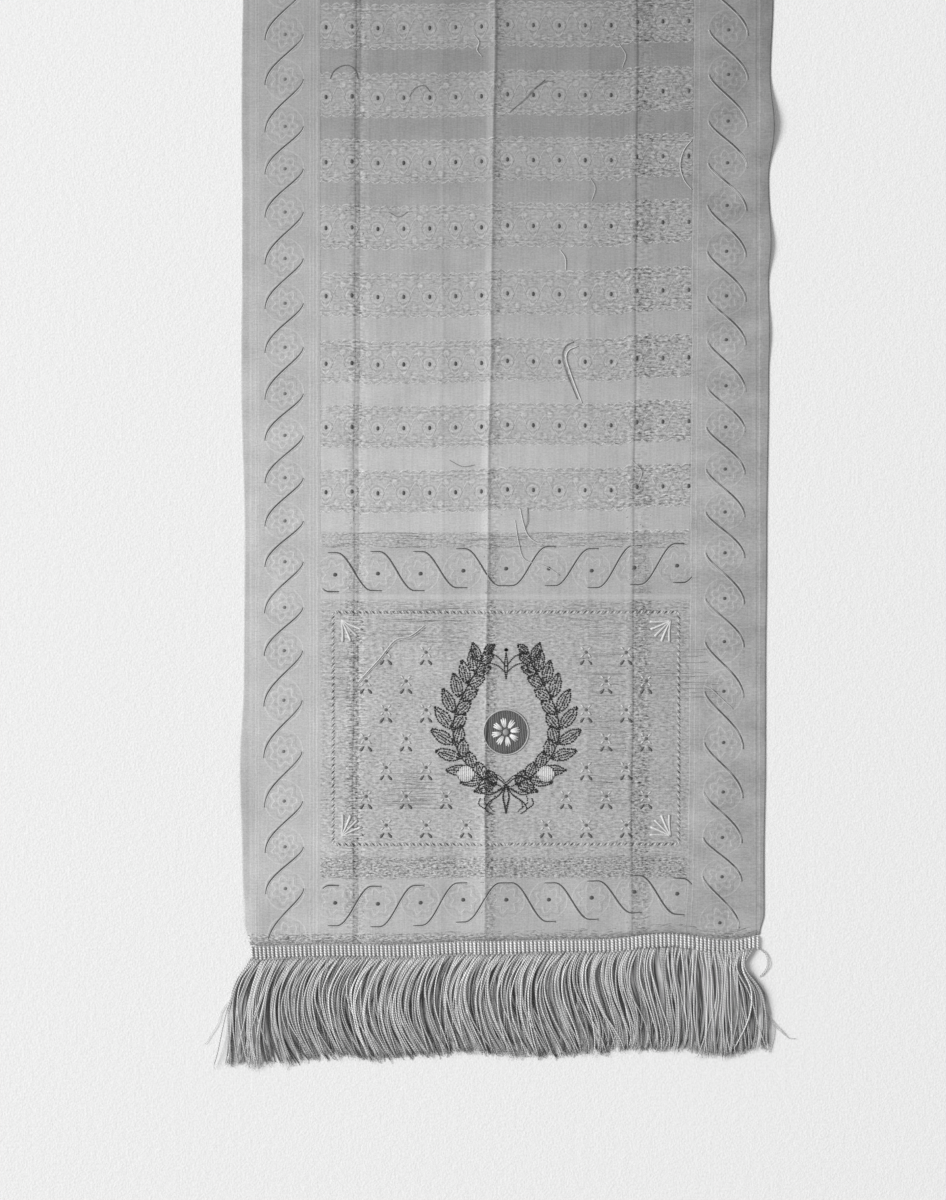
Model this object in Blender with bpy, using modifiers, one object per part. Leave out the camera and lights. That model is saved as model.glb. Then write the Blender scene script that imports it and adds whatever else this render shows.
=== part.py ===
"""Fringed silk sash, laid flat on a surface with its figured face up.

One woven length of cloth, creased lengthwise from being worn folded in four,
with a ribbed heading of thread fringe sewn to each end.
Metres, +Z up. X runs across the sash and Y along it. The near end is at -Y.
The far end is the near end turned half round about Z.
"""

import math

import bmesh
import bpy
from mathutils import Matrix, Vector

MM = 0.001

# Driving dimensions, in metres.
SASH_LENGTH = 3000 * MM
FRINGE_DROP = 68 * MM
HEADING_DEPTH = 8.5 * MM
CLOTH_WALL = 1.2 * MM
SEAM_GAP = 0.3 * MM

# The cloth runs between the two headings.
CLOTH_END = SASH_LENGTH / 2 - FRINGE_DROP - HEADING_DEPTH - SEAM_GAP

# Selvedges, in mm from the centre line, by distance from the end of the cloth.
# Lengths of this outline between its rows are eased, not straight.
SELVEDGES = (
    {"along": 0, "left": -160.5, "right": 158.0},
    {"along": 14, "left": -164.0, "right": 160.9},
    {"along": 50, "left": -165.5, "right": 160.8},
    {"along": 110, "left": -167.0, "right": 161.7},
    {"along": 165, "left": -164.5, "right": 161.8},
    {"along": 250, "left": -164.0, "right": 162.5},
    {"along": 350, "left": -166.0, "right": 163.7},
    {"along": 380, "left": -166.0, "right": 164.3},
    {"along": 410, "left": -165.5, "right": 163.6},
    {"along": 437, "left": -165.5, "right": 165.2},
    {"along": 475, "left": -165.5, "right": 163.6},
    {"along": 508, "left": -165.8, "right": 167.2},
    {"along": 540, "left": -165.8, "right": 164.7},
    {"along": 590, "left": -165.0, "right": 166.5},
    {"along": 800, "left": -166.5, "right": 164.5},
    {"along": 1100, "left": -165.0, "right": 166.0},
    {"along": 1450, "left": -166.0, "right": 166.0},
)

# How far the sewn end of the cloth wanders towards the fringe, in mm, across the sash,
# and the distance from the end over which the cloth takes that up.
END_LINE = (
    {"across": -161, "wander": 3.0},
    {"across": -105, "wander": 2.0},
    {"across": -70, "wander": 2.2},
    {"across": -20, "wander": 0.0},
    {"across": 55, "wander": -1.0},
    {"across": 100, "wander": -5.0},
    {"across": 140, "wander": -0.8},
    {"across": 160, "wander": -3.6},
)

WANDER_FADE = 60

# Lengthwise folds: a crest stands up, and a valley touches the surface between two low shoulders.
# Height and reach to the left and right are in mm.
FOLDS = (
    {"name": "left valley", "rise": 0.9, "left": 7, "right": 8},
    {"name": "left crest", "rise": 0.5, "left": 12, "right": 10},
    {"name": "ridge", "rise": 1.9, "left": 11, "right": 6},
    {"name": "right crest", "rise": 0.5, "left": 10, "right": 12},
    {"name": "right valley", "rise": 0.9, "left": 8, "right": 7},
)

# Where each fold lies across the sash, in mm, at five stations along it.
# The far row is the near row turned half round, so that one fringe fits both ends.
FOLD_LINES = (
    {"at": -1.0, "left valley": -97, "left crest": -41, "ridge": -14, "right crest": 50, "right valley": 77},
    {"at": -0.5, "left valley": -95, "left crest": -40, "ridge": -7, "right crest": 51, "right valley": 81},
    {"at": 0.0, "left valley": -90, "left crest": -46, "ridge": 2, "right crest": 44, "right valley": 86},
    {"at": 0.5, "left valley": -84, "left crest": -52, "ridge": 6, "right crest": 42, "right valley": 93},
    {"at": 1.0, "left valley": -77, "left crest": -50, "ridge": 14, "right crest": 41, "right valley": 97},
)

# Where the cloth stands off the surface, in mm: along from the end, across, height and reach.
LIFTS = (
    {"along": 512, "across": 166, "rise": 3.4, "reach_along": 18, "reach_across": 14},
    {"along": 434, "across": 166, "rise": 2.0, "reach_along": 15, "reach_across": 10},
    {"along": 380, "across": 166, "rise": 1.1, "reach_along": 17, "reach_across": 9},
    {"along": 8, "across": -160, "rise": 2.2, "reach_along": 22, "reach_across": 12},
    {"along": 10, "across": 100, "rise": 2.6, "reach_along": 22, "reach_across": 26},
    {"along": 96, "across": -167, "rise": 1.6, "reach_along": 30, "reach_across": 9},
    {"along": 30, "across": -12, "rise": 1.6, "reach_along": 40, "reach_across": 16},
    {"along": 800, "across": -166, "rise": 3.0, "reach_along": 34, "reach_across": 14},
    {"along": 1010, "across": 166, "rise": 2.2, "reach_along": 30, "reach_across": 12},
    {"along": 1260, "across": -166, "rise": 2.0, "reach_along": 40, "reach_across": 12},
)

# Folds and lifts lower than this have settled flat on the surface.
LIE_FLAT = 0.25 * MM

# Folds are higher in some places than in others: by this share, in two slow waves (radians a metre).
FOLD_UNEVENNESS = 0.18
FOLD_WAVES = (19.0, 7.3)

# The sewn heading holds the folds down to this share of their height, fading over this reach in mm.
END_HOLD = 0.45
END_HOLD_REACH = 70

# Lengthwise lines of the mesh, in mm from the selvedge or fold that each group follows.
EDGE_LINES = (0, 9, 30)
VALLEY_LINES = (-26, -8, 0, 8, 26)
CENTRE_LINES = (-20, -7, 0, 7, 20)

# Cross-sections stand closer together over this length from each end.
ROW_STEP_NEAR_END = 25 * MM
ROW_STEP_BEYOND = 82 * MM
CLOSE_ROWS = 600 * MM

# The fringe. Its threads hang in locks, each a rib of the heading before it leaves it.
LOCKS = 125
LOCK_WIDTH = 1.45 * MM
LOCK_HEIGHT = 1.5 * MM
LOCK_LIFT = 0.4 * MM
UPPER_LAYER = 0.7 * MM
RIB_SINK = 0.55 * MM
RIB_INSET = 0.8 * MM
TIP_UNEVENNESS = 1.4 * MM
TIP_WAVE = 2.4
WELD = 0.01 * MM

# Edges and faces thinner than this, which joining the locks leaves, are taken out of the fringe.
SLIVER = 0.02 * MM

# Sideways sweep of the locks, in mm, by where the root lies across the sash: at a third of the
# drop, at two thirds and at the tip. The last column is how far the tips stay short of the sash's end.
SWEEP = (
    {"root": -161, "third": -11.0, "two thirds": -14.0, "tip": -15.0, "short": 0},
    {"root": -128, "third": -11.5, "two thirds": -11.0, "tip": -3.0, "short": 1},
    {"root": -108, "third": -11.5, "two thirds": -11.0, "tip": -2.0, "short": 5},
    {"root": -79, "third": -11.5, "two thirds": -11.0, "tip": -2.5, "short": 3},
    {"root": -30, "third": -11.0, "two thirds": -10.0, "tip": -2.0, "short": 5},
    {"root": 20, "third": -9.5, "two thirds": -6.5, "tip": 1.5, "short": 2},
    {"root": 67, "third": -5.0, "two thirds": 2.0, "tip": 5.0, "short": 4.5},
    {"root": 100, "third": -0.5, "two thirds": 2.0, "tip": 0.5, "short": 2},
    {"root": 128, "third": 2.5, "two thirds": 3.5, "tip": 2.5, "short": 1.5},
    {"root": 158, "third": 1.5, "two thirds": 2.5, "tip": 2.0, "short": 4.5},
)

# Greys of the black-and-white photograph, as linear values, and roughness.
FINISHES = {
    "silk": {"grey": 0.42, "roughness": 0.55},
    "thread": {"grey": 0.48, "roughness": 0.6},
}


def eased(rows, key, column, at):
    """The value of a table's column at a place between its rows, eased at each row."""
    if at <= rows[0][key]:
        return rows[0][column]
    for low, high in zip(rows, rows[1:]):
        if at <= high[key]:
            share = (at - low[key]) / (high[key] - low[key])
            share = share * share * (3 - 2 * share)
            return low[column] + share * (high[column] - low[column])
    return rows[-1][column]


def from_end(y):
    """Distance along the cloth from its nearer end, in mm."""
    return (CLOTH_END - abs(y)) / MM


def selvedges(y):
    """The left and right edges at a place along the sash, in metres. The far half is turned half round."""
    left = eased(SELVEDGES, "along", "left", from_end(y)) * MM
    right = eased(SELVEDGES, "along", "right", from_end(y)) * MM
    return (left, right) if y < 0 else (-right, -left)


def fold_line(fold, y):
    """Where a fold lies across the sash, in metres."""
    return eased(FOLD_LINES, "at", fold["name"], y / CLOTH_END) * MM


def fold_height(fold, x, y):
    """Height that one fold gives the cloth at a point, in metres."""
    away = x - fold_line(fold, y)
    reach = (fold["left"] if away < 0 else fold["right"]) * MM
    near = abs(away) / reach
    phase = len(fold["name"])
    wave = math.sin(FOLD_WAVES[0] * y + phase) * math.cos(FOLD_WAVES[1] * y)
    rise = fold["rise"] * MM * (1 - FOLD_UNEVENNESS + FOLD_UNEVENNESS * wave)
    if "valley" in fold["name"]:
        return rise * near * math.exp(1 - near)
    return rise * math.exp(-near)


def lift_height(x, y):
    """Height of the places where the cloth stands off the surface, turned half round at the far half."""
    turn = 1 if y < 0 else -1
    height = 0.0
    for lift in LIFTS:
        along = (from_end(y) - lift["along"]) / lift["reach_along"]
        across = (turn * x / MM - lift["across"]) / lift["reach_across"]
        height += lift["rise"] * MM * math.exp(-along * along - across * across)
    return height


def underside(x, y):
    """Height of the cloth's underside, which is exactly flat wherever the cloth rests."""
    held_down = END_HOLD + (1 - END_HOLD) * min(1.0, from_end(y) / END_HOLD_REACH)
    folds = sum(fold_height(fold, x, y) for fold in FOLDS)
    return max(0.0, folds * held_down + lift_height(x, y) - LIE_FLAT)


def end_wander(x, y):
    """How far the sewn end moves a point of the cloth, fading out over its first rows."""
    turn = 1 if y < 0 else -1
    wander = eased(END_LINE, "across", "wander", turn * x / MM) * MM
    fade = max(0.0, 1 - from_end(y) / WANDER_FADE)
    return -turn * wander * fade


def mesh_lines(y):
    """Places of the mesh's lengthwise lines at one section, from the left selvedge to the right."""
    left, right = selvedges(y)
    lines = [left + offset * MM for offset in EDGE_LINES]
    for fold in FOLDS:
        if "valley" in fold["name"]:
            lines += [fold_line(fold, y) + offset * MM for offset in VALLEY_LINES]
        elif fold["name"] == "ridge":
            lines += [fold_line(fold, y) + offset * MM for offset in CENTRE_LINES]
        else:
            lines.append(fold_line(fold, y))
    lines += [right - offset * MM for offset in reversed(EDGE_LINES)]
    return sorted(lines)


def section_places():
    """Places of the cross-sections along Y, closer together towards both ends."""
    half = [CLOTH_END]
    while half[-1] > 0:
        close = CLOTH_END - half[-1] < CLOSE_ROWS
        half.append(half[-1] - (ROW_STEP_NEAR_END if close else ROW_STEP_BEYOND))
    half[-1] = 0.0
    return [-y for y in half[:-1]] + half[::-1]


def finish(name):
    """A Principled material in one of the photograph's greys."""
    material = bpy.data.materials.new(name)
    material.use_nodes = True
    shader = material.node_tree.nodes["Principled BSDF"]
    grey = FINISHES[name]["grey"]
    shader.inputs["Base Color"].default_value = (grey, grey, grey, 1)
    shader.inputs["Roughness"].default_value = FINISHES[name]["roughness"]
    shader.inputs["Metallic"].default_value = 0.0
    material.diffuse_color = (grey, grey, grey, 1)
    return material


def new_object(name, data, collection, material):
    """An object in a collection, with one material."""
    made = bpy.data.objects.new(name, data)
    made.data.materials.append(material)
    collection.objects.link(made)
    return made


def make_wall(name, rows, collection, material):
    """A cloth wall: an open surface through rows of points, from -Y to +Y, thickened upwards."""
    columns = len(rows[0])
    grid = bmesh.new()
    bmesh.ops.create_grid(grid, x_segments=columns - 1, y_segments=len(rows) - 1, size=1)
    grid.verts.ensure_lookup_table()
    for index, vertex in enumerate(grid.verts):
        vertex.co = rows[index // columns][index % columns]
    data = bpy.data.meshes.new(name)
    grid.to_mesh(data)
    grid.free()
    made = new_object(name, data, collection, material)
    wall = made.modifiers.new("wall", "SOLIDIFY")
    wall.thickness = CLOTH_WALL
    wall.offset = 1
    return made


def make_cloth(collection, material):
    """The woven length, through its cross-sections."""
    rows = [
        [Vector((x, y + end_wander(x, y), underside(x, y))) for x in mesh_lines(y)]
        for y in section_places()
    ]
    return make_wall("sash_cloth", rows, collection, material)


def heading_line(x):
    """Where the heading's upper edge lies along Y at the near end: one seam gap below the cloth."""
    return -CLOTH_END - eased(END_LINE, "across", "wander", x / MM) * MM - SEAM_GAP


def make_heading(collection, material):
    """The fringe's flat woven heading, on the same lengthwise lines as the sewn end of the cloth."""
    rows = [
        [
            Vector((x, heading_line(x) - depth, underside(x, -CLOTH_END)))
            for x in mesh_lines(-CLOTH_END)
        ]
        for depth in (HEADING_DEPTH, 0.0)
    ]
    return make_wall("fringe_near", rows, collection, material)


def lock_profile(helpers):
    """The section that each lock is swept with: a low triangle that stands on its base."""
    data = bpy.data.curves.new("lock_profile", "CURVE")
    data.dimensions = "2D"
    spline = data.splines.new("POLY")
    spline.points.add(2)
    corners = ((-LOCK_WIDTH / 2, 0), (LOCK_WIDTH / 2, 0), (0, LOCK_HEIGHT))
    for point, corner in zip(spline.points, corners):
        point.co = (corner[0], corner[1], 0, 1)
    spline.use_cyclic_u = True
    profile = bpy.data.objects.new("lock_profile", data)
    profile.hide_render = True
    profile.display_type = "WIRE"
    helpers.objects.link(profile)
    return profile


def lock_route(number):
    """The points of one lock: down the heading as a rib, then down the fringe in its sweep."""
    left, right = selvedges(-CLOTH_END)
    root = left + (right - left) * (number + 0.5) / LOCKS
    top = heading_line(root)
    foot = top - HEADING_DEPTH
    rib_height = underside(root, -CLOTH_END) + RIB_SINK
    short = eased(SWEEP, "root", "short", root / MM) * MM
    tip = -SASH_LENGTH / 2 + short + TIP_UNEVENNESS * (1 + math.sin(TIP_WAVE * number))
    route = [
        Vector((root, top - RIB_INSET, rib_height)),
        Vector((root, foot, rib_height)),
    ]
    for column, share in (("third", 1 / 3), ("two thirds", 2 / 3), ("tip", 1.0)):
        sweep = eased(SWEEP, "root", column, root / MM) * MM
        layer = UPPER_LAYER * (number % 2) * (1 - share)
        route.append(Vector((root + sweep, foot + share * (tip - foot), LOCK_LIFT + layer)))
    return route


def make_locks(helpers, material):
    """Every lock of one fringe as one mesh of separate closed tubes, ready to be joined to the heading."""
    data = bpy.data.curves.new("locks", "CURVE")
    data.dimensions = "3D"
    data.twist_mode = "Z_UP"
    data.bevel_mode = "OBJECT"
    data.bevel_object = lock_profile(helpers)
    data.use_fill_caps = True
    for number in range(LOCKS):
        route = lock_route(number)
        spline = data.splines.new("POLY")
        spline.points.add(len(route) - 1)
        for point, place in zip(spline.points, route):
            point.co = (*place, 1)
    swept = new_object("locks_swept", data, helpers, material)
    graph = bpy.context.evaluated_depsgraph_get()
    mesh = bpy.data.meshes.new_from_object(swept.evaluated_get(graph))
    bpy.data.objects.remove(swept)
    welded = bmesh.new()
    welded.from_mesh(mesh)
    bmesh.ops.remove_doubles(welded, verts=welded.verts, dist=WELD)
    bmesh.ops.recalc_face_normals(welded, faces=welded.faces)
    welded.to_mesh(mesh)
    welded.free()
    locks = new_object("locks", mesh, helpers, material)
    locks.hide_render = True
    locks.display_type = "WIRE"
    return locks


def take_out_slivers(mesh):
    """Clear a joined mesh of hair-thin faces, which leaves it closed."""
    cleaned = bmesh.new()
    cleaned.from_mesh(mesh)
    bmesh.ops.triangulate(cleaned, faces=cleaned.faces)
    bmesh.ops.dissolve_degenerate(cleaned, edges=cleaned.edges, dist=SLIVER)
    bmesh.ops.triangulate(cleaned, faces=cleaned.faces)
    cleaned.to_mesh(mesh)
    cleaned.free()


def make_fringes(collection, helpers, material):
    """The near fringe, its heading and locks in one body, and the far one, the same turned half round."""
    near = make_heading(collection, material)
    join = near.modifiers.new("locks", "BOOLEAN")
    join.operation = "UNION"
    join.object = make_locks(helpers, material)
    graph = bpy.context.evaluated_depsgraph_get()
    joined = bpy.data.meshes.new_from_object(near.evaluated_get(graph))
    near.modifiers.clear()
    take_out_slivers(joined)
    near.data = joined
    far = bpy.data.objects.new("fringe_far", joined)
    far.matrix_world = Matrix.Rotation(math.pi, 4, "Z")
    collection.objects.link(far)
    return near, far


def main():
    for old in list(bpy.data.objects):
        bpy.data.objects.remove(old)
    sash = bpy.data.collections.new("sash")
    helpers = bpy.data.collections.new("sash_helpers")
    bpy.context.scene.collection.children.link(sash)
    bpy.context.scene.collection.children.link(helpers)
    make_cloth(sash, finish("silk"))
    make_fringes(sash, helpers, finish("thread"))


main()
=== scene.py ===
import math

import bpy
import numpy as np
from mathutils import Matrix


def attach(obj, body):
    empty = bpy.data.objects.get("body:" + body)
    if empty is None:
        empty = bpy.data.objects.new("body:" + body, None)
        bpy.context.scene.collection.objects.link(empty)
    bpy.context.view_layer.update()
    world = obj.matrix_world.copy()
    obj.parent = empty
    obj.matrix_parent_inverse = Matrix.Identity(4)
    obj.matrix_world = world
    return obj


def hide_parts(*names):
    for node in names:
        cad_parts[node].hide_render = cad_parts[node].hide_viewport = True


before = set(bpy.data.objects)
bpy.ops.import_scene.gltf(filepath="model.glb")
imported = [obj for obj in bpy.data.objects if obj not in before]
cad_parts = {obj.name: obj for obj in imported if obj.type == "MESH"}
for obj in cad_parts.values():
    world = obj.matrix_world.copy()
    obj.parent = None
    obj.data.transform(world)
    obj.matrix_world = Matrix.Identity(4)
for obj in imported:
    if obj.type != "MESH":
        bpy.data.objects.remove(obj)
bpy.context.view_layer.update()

# Looks of a long fringed silk sash, laid flat with its figured face up.
# Places on the cloth are in mm: "across" from the centre line, positive to the photograph's right,
# and "along" from the cloth's sewn end. The far end is the near end turned half round.

MM = 0.001
TURNS = (1, -1)


def table(names, *rows):
    """Rows of values under their names."""
    return [dict(zip(names, row)) for row in rows]


# Driving sizes, as in the solids.
SASH_LENGTH = 3000.0
FRINGE_DROP = 68.0
HEADING_DEPTH = 8.5
SEAM_GAP = 0.3
CLOTH_END = SASH_LENGTH / 2 - FRINGE_DROP - HEADING_DEPTH - SEAM_GAP

SELVEDGES = table(
    ("along", "left", "right"),
    (0, -160.5, 158.0), (14, -164.0, 160.9), (50, -165.5, 160.8), (110, -167.0, 161.7),
    (165, -164.5, 161.8), (250, -164.0, 162.5), (350, -166.0, 163.7), (380, -166.0, 164.3),
    (410, -165.5, 163.6), (437, -165.5, 165.2), (475, -165.5, 163.6), (508, -165.8, 167.2),
    (540, -165.8, 164.7), (590, -165.0, 166.5), (800, -166.5, 164.5), (1100, -165.0, 166.0),
    (1450, -166.0, 166.0),
)
END_LINE = table(
    ("across", "wander"),
    (-161, 3.0), (-105, 2.0), (-70, 2.2), (-20, 0.0), (55, -1.0), (100, -5.0), (140, -0.8), (160, -3.6),
)
WANDER_FADE = 60.0

# Folds, as in the solids, in mm. A valley's floor lies under a steep side and a gentle one. The ridge
# is steep on its right. "steep" is the reach of the steep side, and "share" how much of the rise it takes.
FOLDS = (
    {"name": "left valley", "rise": 0.6, "left": 1.2, "right": 6.0},
    {"name": "left crest", "rise": 0.5, "left": 12, "right": 10},
    {"name": "ridge", "rise": 1.4, "left": 5.5, "right": 14, "steep": 0.8, "share": 0.6},
    {"name": "right crest", "rise": 0.5, "left": 10, "right": 12},
    {"name": "right valley", "rise": 0.6, "left": 0.8, "right": 9.0},
)
VALLEY_SHOULDER = 22.0
# Where the folds lie across, from the near end at -1 to the far end at 1. The near ends of the two
# valleys stand about 1 mm further right than the solid's.
FOLD_LINES = table(
    ("at", "left valley", "left crest", "ridge", "right crest", "right valley"),
    (-1.0, -96, -41, -14, 50, 78.1),
    (-0.5, -94.2, -40, -7, 51, 82),
    (0.0, -90, -46, 2, 44, 86),
    (0.5, -84, -52, 6, 42, 93),
    (1.0, -77, -50, 14, 41, 97),
)
FOLD_UNEVENNESS = 0.18
FOLD_WAVES = (0.019, 0.0073)
MEANDER = {"swing": 0.45, "wave": 21.0, "slower": 3.7}
LIFTS = table(
    ("along", "across", "rise", "reach_along", "reach_across"),
    (512, 166, 3.4, 18, 14), (434, 166, 2.0, 15, 10), (380, 166, 1.1, 17, 9), (8, -160, 2.2, 22, 12),
    (10, 100, 2.6, 22, 26), (96, -167, 1.6, 30, 9), (30, -12, 1.6, 40, 16), (800, -166, 3.0, 34, 14),
    (1010, 166, 2.2, 30, 12), (1260, -166, 2.0, 40, 12),
)
LIE_FLAT = 0.25
END_HOLD = 0.45
END_HOLD_REACH = 70.0

# The cloth's upper face where it rests, its own thickness, how far and over what reach it sinks
# at the selvedges, and its gentle unevenness.
REST_TOP = 1.0
SHELL = 0.28
EDGE_SINK = {"depth": 0.66, "reach": 7.0}
UNDULATION = {"height": 0.5, "size": 30.0, "seed": 3}
CRUMPLE = {"height": 0.2, "size": 3.6, "stretch": 1.6, "reach": 7.0, "lowest": -0.08, "seed": 4}

# The cloth's mesh: columns between each two of its edges and folds, and rows along it.
LINES = ("left selvedge", *(fold["name"] for fold in FOLDS), "right selvedge")
COLUMNS = (18, 16, 14, 16, 14, 20)
CLUSTER = 0.82
CLOSE_ROWS = 600.0
ROW_STEP = {"close": 4.0, "beyond": 14.0}

# The woven design. The borders' rosettes are unevenly beaten up, so their places are a list.
BORDER_ROWS = (
    4, 33.5, 58.5, 87, 118, 150, 181, 208, 236.5, 262, 289,
    315.5, 341.5, 370.5, 398, 426, 455, 482, 508.5, 538, 566,
)
BORDER_PITCH = 28.2
BORDERS = table(
    ("along", "left", "right", "behind"),
    (0, -137.0, 132.6, 6.0), (40, -138.6, 134.3, 5.8), (120, -139.6, 135.3, 5.6), (250, -138.8, 136.1, 5.6),
    (400, -138.8, 137.0, 4.6), (570, -138.8, 138.4, 2.8), (900, -138.6, 138.6, 0.0),
)
FIELD_ROWS = (280.3, 320.8, 360.6, 402.8, 445.3, 486.5, 527.2, 570.8)
FIELD_PITCH = 41.5
FIELD_DOTS = {"first": -113.1, "pitch": 16.19, "count": 15}
FIELD_EDGE = 116.5
ROW_UNEVENNESS = 0.8
# How far the field's rows step up or down from fold to fold.
ROW_DRIFT = table(
    ("across", "rise"),
    (-116, -0.4), (-95, 0.1), (-88, -1.0), (-45, -0.7), (-15, 0.1),
    (-4, 1.4), (30, 0.8), (70, 0.9), (79, 3.0), (116, 3.6),
)
# How far from the sewn end the two rows of large dots lie, from side to side.
HEAD_ROW_LINES = table(
    ("across", "upper", "lower"),
    (-108, 228.4, 24.6), (-83, 229.1, 24.1), (-55, 229.1, 24.5), (-28, 230.9, 25.4), (0, 232.2, 25.3),
    (26, 232.2, 25.0), (53, 230.9, 26.1), (79, 232.8, 28.6), (106, 234.1, 26.5),
)
LATTICE = 257


def eased(rows, key, column, at):
    """A table's column read at any places, eased at each row."""
    keys = np.array([row[key] for row in rows], float)
    values = np.array([row[column] for row in rows], float)
    at = np.clip(np.asarray(at, float), keys[0], keys[-1])
    low = np.clip(np.searchsorted(keys, at, side="right") - 1, 0, len(keys) - 2)
    share = (at - keys[low]) / (keys[low + 1] - keys[low])
    share = share * share * (3 - 2 * share)
    return values[low] + share * (values[low + 1] - values[low])


def lumps(x, y, size, seed):
    """Smooth random height between -1 and 1, with lumps of one size."""
    lattice = np.random.default_rng(seed).uniform(-1, 1, (LATTICE, LATTICE))
    u = np.asarray(x, float) / size
    v = np.asarray(y, float) / size
    column, row = np.floor(u).astype(int), np.floor(v).astype(int)
    s, t = u - column, v - row
    s, t = s * s * (3 - 2 * s), t * t * (3 - 2 * t)
    low, high = (
        lattice[(row + up) % LATTICE, column % LATTICE] * (1 - s)
        + lattice[(row + up) % LATTICE, (column + 1) % LATTICE] * s
        for up in (0, 1)
    )
    return low * (1 - t) + high * t


def measured(path):
    """How far along a path each of its points lies."""
    return np.concatenate([[0.0], np.cumsum(np.linalg.norm(np.diff(path, axis=0), axis=1))])


def from_end(y):
    return CLOTH_END - np.abs(y)


def line_at(name, y):
    """Where a selvedge or a fold lies across the sash."""
    y = np.asarray(y, float)
    if "selvedge" in name:
        near = y < 0
        left = eased(SELVEDGES, "along", "left", from_end(y))
        right = eased(SELVEDGES, "along", "right", from_end(y))
        return np.where(near, left, -right) if name.startswith("left") else np.where(near, right, -left)
    slow = np.sin(y / MEANDER["slower"] / MEANDER["wave"])
    swing = MEANDER["swing"] * np.sin(y / MEANDER["wave"] + len(name)) * slow
    return eased(FOLD_LINES, "at", name, y / CLOTH_END) + swing


def fold_height(fold, away):
    """Height that one fold gives the cloth at a distance to its right, before its unevenness."""
    reach = np.where(away < 0, fold["left"], fold["right"])
    near = np.abs(away) / reach
    if "valley" in fold["name"]:
        return fold["rise"] * (1 - np.exp(-near)) * np.exp(-np.abs(away) / VALLEY_SHOULDER)
    if "steep" not in fold:
        return fold["rise"] * np.exp(-near)
    steep = fold["share"] * np.exp(-np.abs(away) / fold["steep"]) + (1 - fold["share"]) * np.exp(-near)
    return fold["rise"] * np.where(away < 0, np.exp(-near), steep)


def cloth_top(x, y):
    """Height of the cloth's upper face."""
    x, y = np.asarray(x, float), np.asarray(y, float)
    turn = np.where(y < 0, 1.0, -1.0)
    height = np.zeros(np.broadcast(x, y).shape)
    crease = np.zeros(height.shape)
    for fold in FOLDS:
        away = x - line_at(fold["name"], y)
        wave = np.sin(FOLD_WAVES[0] * y + len(fold["name"])) * np.cos(FOLD_WAVES[1] * y)
        height += fold_height(fold, away) * (1 - FOLD_UNEVENNESS + FOLD_UNEVENNESS * wave)
        crease += np.exp(-(away / CRUMPLE["reach"]) ** 2)
    held = END_HOLD + (1 - END_HOLD) * np.minimum(1.0, from_end(y) / END_HOLD_REACH)
    lifted = np.zeros(height.shape)
    for lift in LIFTS:
        along = (from_end(y) - lift["along"]) / lift["reach_along"]
        across = (turn * x - lift["across"]) / lift["reach_across"]
        lifted += lift["rise"] * np.exp(-along * along - across * across)
    settled = height * held + np.maximum(0.0, lifted - LIE_FLAT)
    inside = np.minimum(x - line_at("left selvedge", y), line_at("right selvedge", y) - x)
    sunk = np.exp(-np.maximum(0.0, inside) / EDGE_SINK["reach"])
    broad = UNDULATION["height"] * (0.5 + 0.5 * lumps(x, y, UNDULATION["size"], UNDULATION["seed"]))
    small = CRUMPLE["height"] * crease * lumps(x, CRUMPLE["stretch"] * y, CRUMPLE["size"], CRUMPLE["seed"])
    resting = REST_TOP + broad * (1 - 0.9 * sunk) - EDGE_SINK["depth"] * sunk
    return resting + settled + np.maximum(small, CRUMPLE["lowest"])


def rows_to_middle(last, pitch):
    """Rows that go on from the last one at about a pitch, with the sash's middle halfway between two."""
    count = round((CLOTH_END - last) / pitch - 0.5)
    step = (CLOTH_END - last) / (count + 0.5)
    uneven = [ROW_UNEVENNESS * math.sin(2.3 * number) for number in range(1, count)] + [0.0, 0.0]
    return [last + step * number + uneven[number - 1] for number in range(1, count + 2)]


def border_rows(side):
    """Places of one border's rosettes, from before the sewn end to past the sash's middle."""
    rows = [BORDER_ROWS[0] - BORDER_PITCH, *BORDER_ROWS]
    rows = np.array(rows + rows_to_middle(BORDER_ROWS[-1], BORDER_PITCH))
    return rows + eased(BORDERS, "along", "behind", rows) if side == "right" else rows


def field_rows():
    """Places of the field's rows of dots, to past the sash's middle."""
    return np.array([*FIELD_ROWS, *rows_to_middle(FIELD_ROWS[-1], FIELD_PITCH)])


def end_wander(across, along):
    """How far the sewn end's wandering line moves a place, less and less up the cloth."""
    return eased(END_LINE, "across", "wander", across) * np.maximum(0.0, 1 - along / WANDER_FADE)


def placed(across, along, turn, lift=0.0):
    """Points on the cloth's upper face, from places in the design at one end."""
    across, along = np.asarray(across, float), np.asarray(along, float)
    x = turn * across
    y = turn * (along - CLOTH_END)
    return np.stack([x, y - turn * end_wander(across, along), cloth_top(x, y) + lift], axis=-1)


def put(name, data):
    """A new object of the scene."""
    made = bpy.data.objects.new(name, data)
    bpy.context.scene.collection.objects.link(made)
    return made


def put_mesh(name, points, faces, material, values):
    """A smooth mesh from points in mm, with values at its points."""
    mesh = bpy.data.meshes.new(name)
    mesh.from_pydata((points * MM).tolist(), [], faces)
    for value, numbers in values.items():
        attribute = mesh.attributes.new(value, "FLOAT", "POINT")
        attribute.data.foreach_set("value", numbers.astype(np.float32))
    mesh.polygons.foreach_set("use_smooth", [True] * len(mesh.polygons))
    mesh.materials.append(material)
    return put(name, mesh)


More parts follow.
